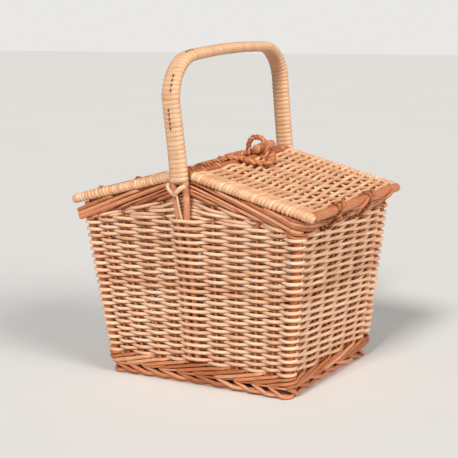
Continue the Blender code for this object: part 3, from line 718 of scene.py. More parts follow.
# Bands of slanting rods: top border and wale

# A border rod is this many uprights long, so as many rods lie side by side in the band
LANES = 3.8
# Outer rods of a band stand this much further out this near to a corner post
POST_BULGE, POST_NEAR = 0.0016, 0.3


def post_bulge(u, out):
    """How much further out a band's rod stands at a place, for the corner posts."""
    beside = min(abs(u % UPRIGHTS - post) for post in POSTS + (UPRIGHTS,)) < POST_NEAR
    return POST_BULGE if out > 0 and beside else 0


def tucked(out, hold):
    """How far out a band's rod stands: hold goes from 0, tucked in, to 1."""
    return out * (-0.35 + 1.35 * math.sin(math.pi / 2 * hold))


def band_stroke(start, stop, low, bottom, height, size, out, tail=0.0):
    """One rod of a band: out from behind the last ones, slanting up, and in again.

    It starts at a share of the band's height and climbs one lane to each upright. size
    gives the radius at a place's x. A rod with a tail starts with its thick end sticking
    out past the corner.
    """
    points = []
    radii = []
    tuck_in, tuck_out = 0.12, 0.10
    steps = max(8, round(abs(stop - start) * 7))
    for step in range(steps + 1):
        u = start + (stop - start) * step / steps
        x = ring_place(u, GABLE_FOOT)[0].x
        radius = size(x)
        share = min(1, low + abs(u - start) / LANES)
        z = bottom(x) + radius + (height - 2 * radius) * share
        z += 0.0008 * wander(u * 0.6, start)
        hold = 1 if tail else min(1, step / steps / tuck_in)
        hold = min(hold, (1 - step / steps) / tuck_out)
        shift = tucked(out, hold) + post_bulge(u, out)
        shift += 0.0006 * wander(u * 0.9, start + 7) + 0.0008 * wander(start * 3.3, 7)
        points.append(ring_point(u, z, shift))
        radii.append(radius)
    if tail:
        points.insert(0, points[0] + (points[0] - points[1]).normalized() * tail)
        radii.insert(0, radii[0])
    return points, radii


def band_core(bottom, height, radius, count, out=0.0):
    """Rods that run level inside a band, right round the basket."""
    rods = []
    per_space = 4
    for number in range(count):
        lift = radius + (height - 2 * radius) * number / max(1, count - 1)
        points = []
        for step in range(UPRIGHTS * per_space + 2):
            u = step / per_space
            x = ring_place(u, GABLE_FOOT)[0].x
            points.append(ring_point(u, bottom(x) + lift, out))
        rods.append((points, radius))
    return rods


def corner_wrap(corner, drop):
    """A brown rod that goes round a corner post just under the top border."""
    points = []
    steps, span, radius = 16, 1.5, 0.0016
    above, tuck, reach = 0.0010, -0.0020, 0.0080
    for step in range(steps + 1):
        u = corner - span / 2 + span * step / steps
        hold = math.sin(math.pi * step / steps)
        x = ring_place(u, GABLE_FOOT)[0].x
        points.append(ring_point(u, border_bottom(x) + above - drop * hold,
                                 tuck + reach * min(1, 1.6 * hold)))
    return points, radius


# The top border's rods by the upright they start at: the last upright of a run, the way
# they go round the basket and the place past the ridge where they end
BORDER_RUNS = ((5, 1, 5.5), (13, -1, 4.5), (22, 1, 22.5), (30, -1, 21.5), (33, 1, 39.5))
# Uprights where an outer rod's thick end sticks out past the corner
BORDER_TAILS = (0, 27)
BORDER_OUT, BORDER_IN = 0.0036, -0.0034
# Rods laid over the rest near the corners: upright and share of the band's height
BORDER_EXTRAS = ((0, 0.38), (0, 0.74), (10, 0.35), (17, 0.4), (27, 0.5))
BORDER_EXTRA_OUT = 0.0042
WRAP_DROPS = (0.0005, 0.0048)


class BASKET_OT_top_border(bpy.types.Operator):
    """Lay the top border: brown rods that slant from the ridge down to the corners"""

    bl_idname = "basket.top_border"
    bl_label = "Top Border"

    def execute(self, context):
        thick = context.scene.basket_rods.border_rod / 2

        def size(x):
            """Radius: the rods thin out towards the ridge."""
            return thick * (0.66 + 0.5 * min(1, abs(x) / 0.150))

        rods = band_core(border_bottom, BORDER_HEIGHT, radius=0.0022, count=4, out=-0.0016)
        for out in (BORDER_OUT, BORDER_IN):
            for index in range(UPRIGHTS):
                rods.append(self.stroke(index, 0.0, out, size))
        for index, low in BORDER_EXTRAS:
            rods.append(self.stroke(index, low, BORDER_EXTRA_OUT, size))
        rods += [corner_wrap(corner, drop) for corner in POSTS for drop in WRAP_DROPS]
        add_rods("top_border_rods", rods, "brown_willow_rods", "basket",
                 ["top_border"], resolution=3)
        return {"FINISHED"}

    def stroke(self, index, low, out, size):
        """The rod that starts at an upright and climbs towards the nearer ridge end."""
        way, ridge = next(run[1:] for run in BORDER_RUNS if index <= run[0])
        start = index - 0.25 * way
        tail = 0.0
        if out > 0 and index in BORDER_TAILS:
            start = index + 0.35 * way
            tail = 0.022 + 0.004 * wander(low * 9, 3)
        if out > 0 and index > BORDER_RUNS[-2][0]:
            # These stop at the front left corner, where the tails stick out
            ridge = UPRIGHTS + 0.2
        stop = start + way * min(LANES * (1 - low) + 0.3, abs(ridge - start))
        stout = 0.94 + 0.20 * wander(index * 1.7 + low * 3, 5)

        def own_size(x):
            """Radius: some rods are thinner than their neighbours."""
            return size(x) * stout

        return band_stroke(start, stop, low, border_bottom, BORDER_HEIGHT, own_size,
                           out + 0.0009 * wander(index * 2.3, 8), tail)


WALE_OUT, WALE_IN = 0.0042, -0.0038


def wale_stroke(index, radius, out):
    """One rod of the wale: out past an upright, up over the next rods and in again."""
    points = []
    steps, span, before, tuck_share = 22, 2.9, 0.3, 0.14
    foot, rise, belly = 0.0168, 0.0134, 0.0018
    for step in range(steps + 1):
        share = step / steps
        u = index - before + span * share
        climb = eased((share - 0.06) / 0.88) * 0.4 + share * 0.6
        z = foot + rise * climb + 0.0003 * wander(u, index)
        hold = min(1, share / tuck_share, (1 - share) / tuck_share)
        shift = tucked(out, hold) + post_bulge(u, out)
        shift += math.copysign(belly, out) * math.sin(math.pi * share)
        points.append(ring_point(u, z, shift))
    return points, [radius * (1.06 - 0.16 * step / steps) for step in range(steps + 1)]


def wale_tail(index, radius):
    """A thin rod end that lies nearly level under the wale; some are cut off outside."""
    points = []
    steps, span, before, tuck_share = 10, 1.5, 0.2, 0.2
    height, sag, reach, tuck = 0.0172, 0.0016, 0.0072, 0.0022
    cut = index % 5 in (1, 2, 3)
    rise = 0.002 * (index * 7 % 4) if cut else -0.0015
    for step in range(steps + 1):
        share = step / steps
        hold = min(1, share / tuck_share)
        if not cut:
            hold = min(hold, (1 - share) / tuck_share)
        z = height - sag * math.sin(math.pi * share) + rise * share ** 2
        points.append(ring_point(index - before + span * share, z, reach * hold - tuck))
    return points, radius


class BASKET_OT_wale(bpy.types.Operator):
    """Lay the wale of slanting brown rods above the foot"""

    bl_idname = "basket.wale"
    bl_label = "Wale"

    def execute(self, context):
        radius = context.scene.basket_rods.wale_rod / 2
        rods = band_core(lambda x: WALE_BOTTOM, WALE_TOP - WALE_BOTTOM, radius=0.0020,
                         count=3, out=-0.0008)
        for out in (WALE_OUT, WALE_IN):
            for index in range(UPRIGHTS):
                rods.append(wale_stroke(index, radius * (1 + 0.08 * wander(index, 5)), out))
        rods += [wale_tail(index, radius * 0.66) for index in range(UPRIGHTS)]
        add_rods("base_wale_rods", rods, "brown_willow_rods", "basket",
                 ["base_wale"])
        return {"FINISHED"}


def foot_rod(index, radius):
    """A rod of the open foot border: down out of the wale, then along the floor."""
    points = []
    steps, span, before = 22, 2.6, 0.2
    top, ring_height, arch_height = 0.0178, 0.004, 0.0042
    reach, inward = 0.0040, 0.0068
    # Share of the rod at which it meets the floor: along the front it gets steeper
    steep = 0.58 - 0.20 * min(1, index / 7) if index <= POSTS[1] else 0.44
    for step in range(steps + 1):
        share = step / steps
        drop = max(0, 1 - share / steep) ** 1.15
        z = radius + (top - radius) * drop
        out = reach - inward * eased((share - 0.42) / 0.5)
        out -= reach * max(0, 1 - share / 0.08)
        point, normal = ring_place(index - before + span * share, ring_height)
        middle = min(abs(point.x / half_length(0)), abs(point.y / half_width(0)))
        arch = arch_height * (1 - middle ** 2) * (1 - drop)
        points.append(point + normal * out + Vector((0, 0, z - ring_height + arch)))
    return points, [radius * (1.04 - 0.25 * step / steps) for step in range(steps + 1)]


class BASKET_OT_foot_border(bpy.types.Operator):
    """Lay the open foot border, one slanting rod from each upright"""

    bl_idname = "basket.foot_border"
    bl_label = "Foot Border"

    def execute(self, context):
        radius = context.scene.basket_rods.foot_rod / 2
        rods = []
        for index in range(UPRIGHTS):
            rods.append(foot_rod(index, radius * (1 + 0.08 * wander(index, 2))))
        core = band_core(lambda x: 0.0, 0.0044, radius=0.0022, count=1, out=-0.0016)
        add_rods("foot_border_rods", rods + core, "brown_willow_rods", "basket",
                 ["foot_border"], resolution=3)
        return {"FINISHED"}


class BASKET_OT_floor(bpy.types.Operator):
    """Weave the floor: buff rods along the basket over sticks across it"""

    bl_idname = "basket.floor"
    bl_label = "Floor"

    def execute(self, context):
        low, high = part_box("floor_weave")
        middle = (low.z + high.z) / 2
        reach_x, reach_y = high.x + 0.003, high.y + 0.003
        pitch, radius, stick_radius, steps = 0.0046, 0.00215, 0.0024, 72
        sticks = [share * half_length(middle) for share in LONG_SHARES]
        rods = []
        count = round(2 * reach_y / pitch)
        for row in range(count + 1):
            y = -reach_y + 2 * reach_y * row / count
            points = []
            for step in range(steps + 1):
                x = -reach_x + 2 * reach_x * step / steps
                points.append(Vector((x, y, middle + floor_swing(x, sticks, row))))
            rods.append((points, radius * (1 + 0.08 * wander(row, 4))))
        add_rods("floor_rods", rods, "buff_willow_rods", "basket",
                 ["floor_weave"])
        cross = [([Vector((x, -reach_y, middle)), Vector((x, reach_y, middle))],
                  stick_radius) for x in sticks]
        add_rods("floor_sticks", cross, "brown_willow_rods", "basket",
                 resolution=3)
        return {"FINISHED"}


def floor_swing(x, sticks, row):
    """Height of a floor weaver over or under the sticks at x."""
    return woven([-0.2] + sticks + [0.2], x, row, 0.0022)


# Handle

BOW_ROD_RADIUS = 0.0040
# Front side of the handle's middle line: its foot, where it turns, and its crown
HANDLE_FOOT_Y, HANDLE_FOOT_Z = -0.1364, 0.2712
HANDLE_SHOULDER_Y, HANDLE_SHOULDER_Z = -0.1390, 0.3780
HANDLE_TURN = 0.052
HANDLE_CROWN_RISE = 0.003
HANDLE_LEAN = 0.0078
BINDING_HALF_WIDTH, BINDING_HALF_DEPTH = 0.0128, 0.0071
CANE_BULGE = 0.0048


def bow_path(side):
    """One of the handle's rods: in the wall, out past the border, up inside the cane."""
    spread, arch = side * 0.0076, side * 0.0060
    front = [Vector((spread, -half_width(z) - bow_offset(z), z))
             for z in (0.033, 0.10, 0.165, 0.18, 0.195, 0.21, 0.223)]
    for z, out in ((0.2360, 0.0072), (0.2500, 0.0098)):
        front.append(Vector((spread, -half_width(z) - out, z)))
    front.append(Vector((spread, -0.1345, 0.2620)))
    front.append(Vector((spread, HANDLE_FOOT_Y, HANDLE_FOOT_Z)))
    for point in handle_line()[2:]:
        front.append(Vector((arch, point.y, point.z)))
    back = [Vector((p.x, -p.y, p.z)) for p in reversed(front[:-1])]
    # Below the binding the front rods stand to the left and spread apart as they rise
    for point in front:
        rise = eased((point.z - 0.215) / 0.050)
        free = eased((0.292 - point.z) / 0.025)
        point.x += (side * (0.0024 * rise - 0.0014) - 0.0054 + 0.0036 * rise) * free
    return [leaned(point) for point in front + back]


def handle_line():
    """Middle line of the handle's front half, from the binding's foot to the crown."""
    line = [Vector((0, HANDLE_FOOT_Y, HANDLE_FOOT_Z)), Vector((0, -0.1377, 0.325)),
            Vector((0, HANDLE_SHOULDER_Y, HANDLE_SHOULDER_Z))]
    half_span = -HANDLE_SHOULDER_Y - HANDLE_TURN
    steps = 10
    for step in range(1, steps + 1):
        angle = math.pi / 2 * step / steps
        line.append(Vector((0, -half_span - HANDLE_TURN * math.cos(angle),
                            HANDLE_SHOULDER_Z + HANDLE_TURN * math.sin(angle))))
    top = HANDLE_SHOULDER_Z + HANDLE_TURN
    for share in (0.75, 0.5, 0.25, 0):
        line.append(Vector((0, -half_span * share,
                            top + HANDLE_CROWN_RISE * (1 - share ** 2))))
    return line


def leaned(point):
    """The handle leans a little to the left above the binding's foot."""
    share = (point.z - HANDLE_FOOT_Z) / (HANDLE_SHOULDER_Z - HANDLE_FOOT_Z)
    return point - Vector((HANDLE_LEAN * min(1, max(0, share)), 0, 0))


def along_line(line, distance):
    """Point and direction at a distance along a line of points."""
    left = distance
    for a, b in zip(line, line[1:]):
        run = (b - a).length
        if left <= run:
            return a + (b - a) * (left / run), (b - a).normalized()
        left -= run
    return line[-1], (line[-1] - line[-2]).normalized()


class BASKET_OT_handle_binding(bpy.types.Operator):
    """Wind the split cane round the handle"""

    bl_idname = "basket.handle_binding"
    bl_label = "Handle Binding"

    def execute(self, context):
        pitch = context.scene.basket_rods.cane_pitch
        front = handle_line()
        line = front + [Vector((0, -p.y, p.z)) for p in reversed(front[:-1])]
        line = refined(line, 0.004)
        total = sum((b - a).length for a, b in zip(line, line[1:]))
        turns = round(total / pitch) - 1
        per_turn = 20
        points = []
        radii = []
        for step in range(turns * per_turn + 1):
            angle = 2 * math.pi * step / per_turn
            reached = CANE_BULGE / 2 + (total - CANE_BULGE) * step / (turns * per_turn)
            centre, along = along_line(line, reached)
            depth = along.cross(Vector((1, 0, 0))).normalized()
            # The binding is wider at both ends, over the last 12 mm
            flare = 0.0010 * max(0, 1 - min(reached, total - reached) / 0.012)
            x, y = squared(angle, 0.75)
            x *= BINDING_HALF_WIDTH - CANE_BULGE + flare
            y *= BINDING_HALF_DEPTH - CANE_BULGE + flare
            x -= 0.0018 * max(0, 1 - reached / 0.014)
            points.append(leaned(centre + Vector((x, 0, 0)) + depth * y))
            radii.append(CANE_BULGE * (1 + 0.02 * wander(step / per_turn * 1.7, 6)))
        add_rods("handle_cane", [(points, radii)], "split_cane_skin", "basket",
                 ["handle_cane_binding"], resolution=6)
        add_rods("handle_cane_ends", self.ends(), "split_cane_skin", "basket")
        # The leaders are dark with painted shade
        add_rods("handle_cane_leaders", self.leaders(), "leader_cane_painted_shade", "basket",
                 resolution=1)
        return {"FINISHED"}

    def ends(self):
        """The cane's tucked ends at the front foot: a stub, a strand and a thin rod."""
        stub = [Vector((-0.0005, -0.1440, 0.2615)), Vector((0.0006, -0.1448, 0.2640)),
                Vector((0.0060, -0.1450, 0.2685)), Vector((0.0120, -0.1420, 0.2710))]
        strand = [Vector((-0.0150, -0.1400, 0.2730)), Vector((-0.0148, -0.1432, 0.2685)),
                  Vector((-0.0105, -0.1430, 0.2625)), Vector((-0.0055, -0.1395, 0.2570))]
        thin = [Vector((-0.0050, -0.1385, 0.2590)), Vector((-0.0042, -0.1365, 0.2480)),
                Vector((-0.0034, -0.1322, 0.2300)), Vector((-0.0034, -0.1290, 0.2240))]
        rods = []
        for points, radius in ((stub, 0.0033), (strand, 0.0025), (thin, 0.0014)):
            path = refined(points, 0.001)
            # Both ends are rounded off over the last two points
            from_end = [min(step, len(path) - 1 - step) for step in range(len(path))]
            rods.append((path, [radius * min(1, 0.55 + 0.3 * step) for step in from_end]))
        return rods

    def leaders(self):
        """Strips laid under the binding that show between its turns, dark with painted
        shade.
        """
        line = refined(handle_line(), 0.004)
        dash_half, radius, spacing = 0.0020, 0.0008, 0.0057
        rods = []
        for begin, count, across in ((0.072, 5, -0.0006), (0.118, 4, 0.0040),
                                     (0.176, 3, 0.0010)):
            for dash in range(count):
                centre, along = along_line(line, begin + spacing * dash)
                depth = along.cross(Vector((1, 0, 0))).normalized() * BINDING_HALF_DEPTH
                middle = leaned(centre + Vector((across, 0, 0)) - depth)
                half = along * dash_half
                rods.append(([middle - half, middle + half], radius))
        return rods


# Lids

def lid_point(side, along, y, up):
    """A point of a closed lid: along from its hinge axis, and up out of its top face."""
    cosine, sine = math.cos(LID_ANGLE), math.sin(LID_ANGLE)
    x = HINGE_X - along * cosine + up * sine
    return Vector((side * x, y, HINGE_HEIGHT + along * sine + up * cosine))


# Where a lid's ribs lie across it, and how far a weaver swings over or under them
RIBS = (-0.083, -0.041, -0.001, 0.047, 0.090)
RIB_SWING = 0.0029
# Where a lid's weavers lie wider apart or closer: place along, reach and how much
LID_SPACINGS = ((0.042, 0.016, 0.0016), (0.145, 0.010, 0.0010), (0.080, 0.012, -0.0006))
# A weaver's turn round a lid's side stick: its middle line and its radius there. The
# back roll is slimmer than the front one
EDGE_TURNS = {-1: 0.0032, 1: 0.0030}
EDGE_RODS = {-1: 0.0033, 1: 0.0024}
# Where the rolls begin, along from the hinge, by side and edge. The right lid's front
# roll goes past its hinge stick and the back one leaves it free
ROLL_BEGINS = {(1, -1): -0.0030, (1, 1): 0.0046, (-1, -1): 0.0018, (-1, 1): 0.0018}
# Ends of the hinge sticks, front and back, by side
HINGE_STICK_ENDS = {-1: (-0.1130, 0.1183), 1: (-0.1183, 0.1205)}
# Thin rods wound round the right hinge stick: where they start and how far they go
HINGE_WINDINGS = ((-0.054, 0.070), (0.033, 0.060))
RIDGE_RINGS = (-0.101, -0.0647, 0.079, 0.104)
LOOP_PLACES = {"front": -0.0625, "back": 0.0250}


def hump(at, middle, reach):
    """1 at the middle, falling off smoothly to either side."""
    return math.exp(-((at - middle) / reach) ** 2)


def weaver_places(first, last, pitch):
    """Where a lid's weavers lie, along from its hinge."""
    places = [first]
    while places[-1] < last:
        a = places[-1]
        wide = sum(most * hump(a, middle, reach) for middle, reach, most in LID_SPACINGS)
        places.append(a + pitch + wide)
    stretch = (last - first) / (places[-1] - first)
    return [first + (a - first) * stretch for a in places]


def rib_swing(y, row):
    """Height of a lid's weaver over or under its ribs at y."""
    if y < RIBS[0]:
        # Every weaver comes up to go over the front side stick
        near = RIB_SWING if row % 2 == 0 else -RIB_SWING
        return near + (EDGE_TURNS[-1] - near) * eased((RIBS[0] - y) / 0.024)
    return woven(list(RIBS) + [LID_HALF_WIDTH], y, row, RIB_SWING)


def edge_turn(edge, along, pitch, over):
    """A weaver's turn round a side stick: its place along, out and up, point by point."""
    reach = EDGE_TURNS[edge]
    steps, turned, advance = 13, math.radians(300), 0.95
    places = []
    for step in range(steps + 1):
        share = step / steps
        angle = turned * share
        up = math.cos(angle) if over else -math.cos(angle)
        places.append((along + pitch * share * advance, reach * math.sin(angle),
                       reach * up))
    return places


def lid_weaver(side, row, along, pitch, radius):
    """One weaver of a lid: over and under the ribs, and round both side sticks."""
    over = (row + len(RIBS)) % 2 == 0
    local = []
    for a, out, up in reversed(edge_turn(-1, along, pitch, True)):
        local.append((a, -LID_HALF_WIDTH - out, up))
    low, high = -LID_HALF_WIDTH + 0.003, LID_HALF_WIDTH - 0.004
    steps = 72
    # The rows bow a little towards the ridge at the back of the lid
    bend = 0.004 * math.sin(math.pi * along / LID_REACH)
    for step in range(steps + 1):
        y = low + (high - low) * step / steps
        share = y / LID_HALF_WIDTH
        drift = bend * share + 0.0005 * wander(y * 30, row)
        local.append((along + drift * (1 - share ** 4), y, rib_swing(y, row)))
    for a, out, up in edge_turn(1, along, pitch, over):
        local.append((a, LID_HALF_WIDTH + out, up))
    points = [lid_point(side, a + loop_push(a, y), y, up) for a, y, up in local]
    thick = radius * (1 + 0.07 * wander(row, side + 3))
    radii = [thick + (EDGE_RODS[1 if y > 0 else -1] - thick)
             * eased((abs(y) - LID_HALF_WIDTH + 0.008) / 0.009) for a, y, up in local]
    return points, radii


def roll_start(side, edge, along, stop):
    """The roll's first turns, closed at the end, which hide the hinge stick's end."""
    points = []
    steps, pitch = 44, 0.0044
    for step in range(steps + 1):
        share = step / steps
        angle = 2 * math.pi * share * (stop - along) / pitch
        reach = EDGE_TURNS[edge] * min(1, 0.3 + share * 4)
        a = along + (stop - along) * share
        points.append(lid_point(side, a, edge * (LID_HALF_WIDTH + reach * math.sin(angle)),
                                reach * math.cos(angle)))
    return points, EDGE_RODS[edge]


def loop_push(along, y):
    """The hinge loops push the first weavers apart where they come up between them."""
    push, half_width_pushed, untouched, fade = 0.0034, 0.009, 0.008, 0.010
    near = max(hump(y, place, half_width_pushed) for place in LOOP_PLACES.values())
    return push * near * math.exp(-max(0, along - untouched) / fade)


def stick(points, radius, seed, swell=0.05):
    """A willow stick, a little uneven and with a knot every 71 mm, as a rod."""
    spacing, between_knots, first_knot, knot_reach = 0.008, 0.071, 0.03, 0.004
    path = refined(points, spacing)
    radii = []
    for step in range(len(path)):
        knot = hump(step * spacing % between_knots, first_knot, knot_reach)
        radii.append(radius * (1 + swell * wander(step * 0.3, seed) + 0.04 * knot))
    return path, radii


class BASKET_OT_lids(bpy.types.Operator):
    """Weave both lids: weavers over ribs, rolled round the side sticks"""

    bl_idname = "basket.lids"
    bl_label = "Lids"

    def execute(self, context):
        sizes = context.scene.basket_rods
        radius = sizes.lid_weaver / 2
        for hand, side in SIDES:
            body = f"{hand}_lid"
            gap = 0.0003
            first = HINGE_STICK_RADIUS + gap + radius
            last = LID_REACH - RIDGE_STICK_RADIUS - gap - radius
            places = weaver_places(first, last, sizes.lid_pitch)
            rods = []
            for row, along in enumerate(places):
                pitch = (places[row + 1:] or [along + 0.0015])[0] - along
                rods.append(lid_weaver(side, row, along, pitch, radius))
            for edge in (-1, 1):
                rods.append(roll_start(side, edge, ROLL_BEGINS[side, edge], first + 0.001))
            add_rods(f"{hand}_lid_rods", rods, "pale_willow_rods", body,
                     [f"{hand}_lid_weave"])
            self.sticks(hand, side, body)
        return {"FINISHED"}

    def sticks(self, hand, side, body):
        """Ribs, side sticks, ridge stick and hinge stick of one lid."""
        end = LID_HALF_WIDTH
        rib_radius, edge_radius, ridge_radius = 0.0019, 0.0026, 0.0043
        ribs = [stick([lid_point(side, 0.007, y, 0), lid_point(side, LID_REACH, y, 0)],
                      rib_radius, place) for place, y in enumerate(RIBS)]
        edges = [stick([lid_point(side, 0.004, y, 0),
                        lid_point(side, LID_REACH - 0.001, y, 0)],
                       edge_radius, 20 + y) for y in (-end, end)]
        ridge = stick([lid_point(side, LID_REACH, -end - 0.002, 0.0012),
                       lid_point(side, LID_REACH, 0, 0.0014),
                       lid_point(side, LID_REACH, end + 0.002, 0.0012)],
                      ridge_radius, seed=31)
        add_rods(f"{hand}_lid_ribs", ribs + edges, "buff_willow_rods", body)
        rings = [self.winding(side, LID_REACH, 0.0013, y, length=0.004, turns=1.3,
                              reach=0.0052, radius=0.0011) for y in RIDGE_RINGS]
        add_rods(f"{hand}_ridge_stick", [ridge] + rings, "brown_willow_rods", body,
                 [f"{hand}_lid_frame"], resolution=3,
                 ends="aged_willow_end")
        front, back = HINGE_STICK_ENDS[side]
        bar = stick([lid_point(side, 0, front, 0), lid_point(side, 0, 0, 0),
                     lid_point(side, 0, back, 0)], HINGE_STICK_RADIUS, seed=37,
                    swell=0.02)
        # The stick's own number gives it its tone
        bar += (83 + side, 0.0)
        turns = [self.winding(side, 0, 0, y, length, turns=1.0, reach=0.0078,
                              radius=0.0023)
                 for y, length in (HINGE_WINDINGS if side > 0 else ())]
        # The hinge sticks take brown willow lightened with painted light
        add_rods(f"{hand}_hinge_stick", [bar] + turns, "brown_willow_sticks_painted_light", body,
                 [f"{hand}_lid_hinge_stick"], resolution=4,
                 ends="aged_willow_end")

    def winding(self, side, along, up, y, length, turns, reach, radius):
        """A thin rod wound round a stick that lies along Y, from its upper inner side."""
        points = []
        steps = round(24 * turns)
        for step in range(steps + 1):
            angle = 2 * math.pi * turns * step / steps + 0.6
            points.append(lid_point(side, along - reach * math.cos(angle),
                                    y + length * step / steps,
                                    up + reach * math.sin(angle)))
        return points, radius


# A hinge loop's turn round its stick, its strands' distance from its middle line, their
# radius and finish. The left loops are finer: in the photograph only low bumps show
HINGE_LOOPS = {"left": (0.0073, 0.0007, 0.0010, "brown_willow_rods"),
               "right": (0.0080, 0.00140, 0.00165, "dark_willow_rods")}
# A hinge loop's turn round the border, and that turn's middle
LOOP_FOOT_TURN = 0.0062
LOOP_FOOT_X, LOOP_FOOT_HEIGHT = 0.1675, 0.2220


class BASKET_OT_hinge_loops(bpy.types.Operator):
    """Twist the four hinge loops round the lids' outer sticks"""

    bl_idname = "basket.hinge_loops"
    bl_label = "Hinge Loops"

    def execute(self, context):
        for hand, side in SIDES:
            turn, offset, radius, finish = HINGE_LOOPS[hand]
            for depth, y in LOOP_PLACES.items():
                path = refined([(side * x, y, z) for x, z in loop_line(turn)], 0.0022)
                rods = twisted(path, 2, offset, radius, pitch=0.014, closed=True)
                add_rods(f"{hand}_{depth}_loop_rods", rods, finish, "basket",
                         [f"{hand}_{depth}_hinge_loop"])
        return {"FINISHED"}


def loop_line(stick_turn):
    """Middle line of a right-hand hinge loop: round the stick, through the border."""
    between = Vector((HINGE_X - LOOP_FOOT_X, HINGE_HEIGHT - LOOP_FOOT_HEIGHT))
    heading = math.atan2(between.y, between.x)
    spread = math.acos((LOOP_FOOT_TURN - stick_turn) / between.length)
    steps = 9
    path = []
    for middle_x, middle_z, turn, start, swept in (
            (HINGE_X, HINGE_HEIGHT, stick_turn, spread - math.pi, math.pi - spread),
            (LOOP_FOOT_X, LOOP_FOOT_HEIGHT, LOOP_FOOT_TURN, math.pi - spread, spread)):
        for step in range(steps + 1):
            angle = heading + start + 2 * swept * step / steps
            path.append((middle_x + turn * math.cos(angle),
                         middle_z + turn * math.sin(angle)))
    return path + [path[0]]


# Closure

# The noose lies this far over the lids' middle plane, and turns round the ridge stick
NOOSE_LIFT, NOOSE_TURN = 0.0088, 0.0071
NOOSE_FRONT, NOOSE_BACK = -0.0240, -0.0060
NOOSE_REACH, NOOSE_LENGTH = 0.0420, 0.0780
# Its run over the right lid, as shares of its reach across and its length along the ridge
NOOSE_SHARES = ((0.32, 0.14), (0.72, 0.18), (1.02, 0.28), (1.10, 0.44), (0.96, 0.62),
                (0.78, 0.82), (0.56, 1.0), (0.30, 1.04), (0.04, 0.88), (-0.12, 0.62))
# The hoop is a ring pushed out towards a square
HOOP_MIDDLE = (0.0123, 0.0360, 0.2930)
HOOP_HALF_WIDTH, HOOP_HALF_HEIGHT = 0.0137, 0.0182
# The peg from front to back: how far in from its box's end, lift and radius
PEG_FRONT = ((0.006, -0.0022, 0.0052), (0.007, -0.0022, 0.0062))
PEG_BACK = ((0.001, -0.0006, 0.0060), (0, -0.0006, 0.0050))


def noose_height(x):
    """Height of the noose where it lies on the lids."""
    place = max(abs(x), RIDGE_X + RIDGE_STICK_RADIUS)
    return HINGE_HEIGHT + LID_SLOPE * (HINGE_X - place) + NOOSE_LIFT


def noose_turn(y, start, swept):
    """Half a turn of the noose round the left ridge stick."""
    steps = 5
    points = []
    for step in range(steps + 1):
        angle = start + swept * step / steps
        points.append((-RIDGE_X + NOOSE_TURN * math.cos(angle), y,
                       RIDGE_HEIGHT + NOOSE_TURN * math.sin(angle)))
    return points


def noose_line():
    """Middle line of the noose: from the left ridge stick, round the hoop and back."""
    points = noose_turn(NOOSE_FRONT, 1.5 * math.pi, -math.pi)
    for share_x, share_y in NOOSE_SHARES:
        x = share_x * NOOSE_REACH
        points.append((x, NOOSE_FRONT + share_y * NOOSE_LENGTH, noose_height(x)))
    points += noose_turn(NOOSE_BACK, 0.5 * math.pi, math.pi)
    return points + [points[0]]


class BASKET_OT_closure(bpy.types.Operator):
    """Make the twisted hoop, the peg and the noose"""

    bl_idname = "basket.closure"
    bl_label = "Closure"

    def execute(self, context):
        hoop = []
        middle_x, middle_y, middle_z = HOOP_MIDDLE
        steps = 40
        for step in range(steps + 1):
            x, z = squared(2 * math.pi * step / steps, 0.77)
            hoop.append((middle_x + HOOP_HALF_WIDTH * x, middle_y,
                         middle_z + HOOP_HALF_HEIGHT * z))
        strands = twisted(refined(hoop, 0.002), strands=3, offset=0.0019, radius=0.0020,
                          pitch=0.020, closed=True)
        add_rods("closure_hoop_rods", strands, "brown_willow_rods", "right_lid",
                 ["closure_hoop"])
        rope = braided(refined(noose_line(), 0.0022), width=0.0035, height=0.0015,
                       radius=0.0022, pitch=0.024, guide=(0, 1, 0))
        noose = add_rods("closure_noose_rope", rope, "brown_willow_rods", None,
                         ["closure_noose"])
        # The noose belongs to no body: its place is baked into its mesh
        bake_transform(noose)
        add_rods("ridge_wrapping", self.wrapping(), "brown_willow_rods", "left_lid")
        low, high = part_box("closure_peg")
        x, z = (low.x + high.x) / 2, (low.z + high.z) / 2
        peg = [Vector((x, low.y + inset, z + lift)) for inset, lift, radius in PEG_FRONT]
        peg += [Vector((x, high.y - inset, z + lift)) for inset, lift, radius in PEG_BACK]
        radii = [radius for inset, lift, radius in PEG_FRONT + PEG_BACK]
        add_rods("closure_peg_stick", [(peg, radii)], "brown_willow_rods", "peg",
                 ["closure_peg"], resolution=6, ends="aged_willow_end")
        return {"FINISHED"}

    def wrapping(self):
        """Thin rods wound along the left lid's ridge stick, up to the noose's foot."""
        start, length, steps = -0.080, 0.070, 20
        path = [lid_point(-1, LID_REACH, start + length * step / steps, 0.0014)
                for step in range(steps + 1)]
        return twisted(refined(path, 0.0015), strands=3, offset=0.0058, radius=0.0015,
                       pitch=0.026)


# Stage

# The photograph's camera, matched to the basket's corners: where it looks, from how far,
# and in degrees how far round, how far up and how far it is tipped
CAMERA_TARGET, CAMERA_DISTANCE = Vector((-0.0142, 0, 0.1883)), 1.7533
CAMERA_AROUND, CAMERA_UP, CAMERA_ROLL = 31.774, 11.268, -1.584
CAMERA_LENS, CAMERA_SENSOR = 101.0, 36.0
FLOOR_SIZE = 6.0


def add_lamp(name, place, strength, softness, colour):
    """A broad, distant studio lamp that shines from a place: softness is in degrees."""
    lamp = bpy.data.lights.new(name, "SUN")
    lamp.energy = strength
    lamp.angle = math.radians(softness)
    lamp.color = linear(colour)
    item = bpy.data.objects.new(name, lamp)
    bpy.context.scene.collection.objects.link(item)
    item.location = place
    heading = Vector((0, 0, 0.15)) - item.location
    item.rotation_euler = heading.to_track_quat("-Z", "Y").to_euler()


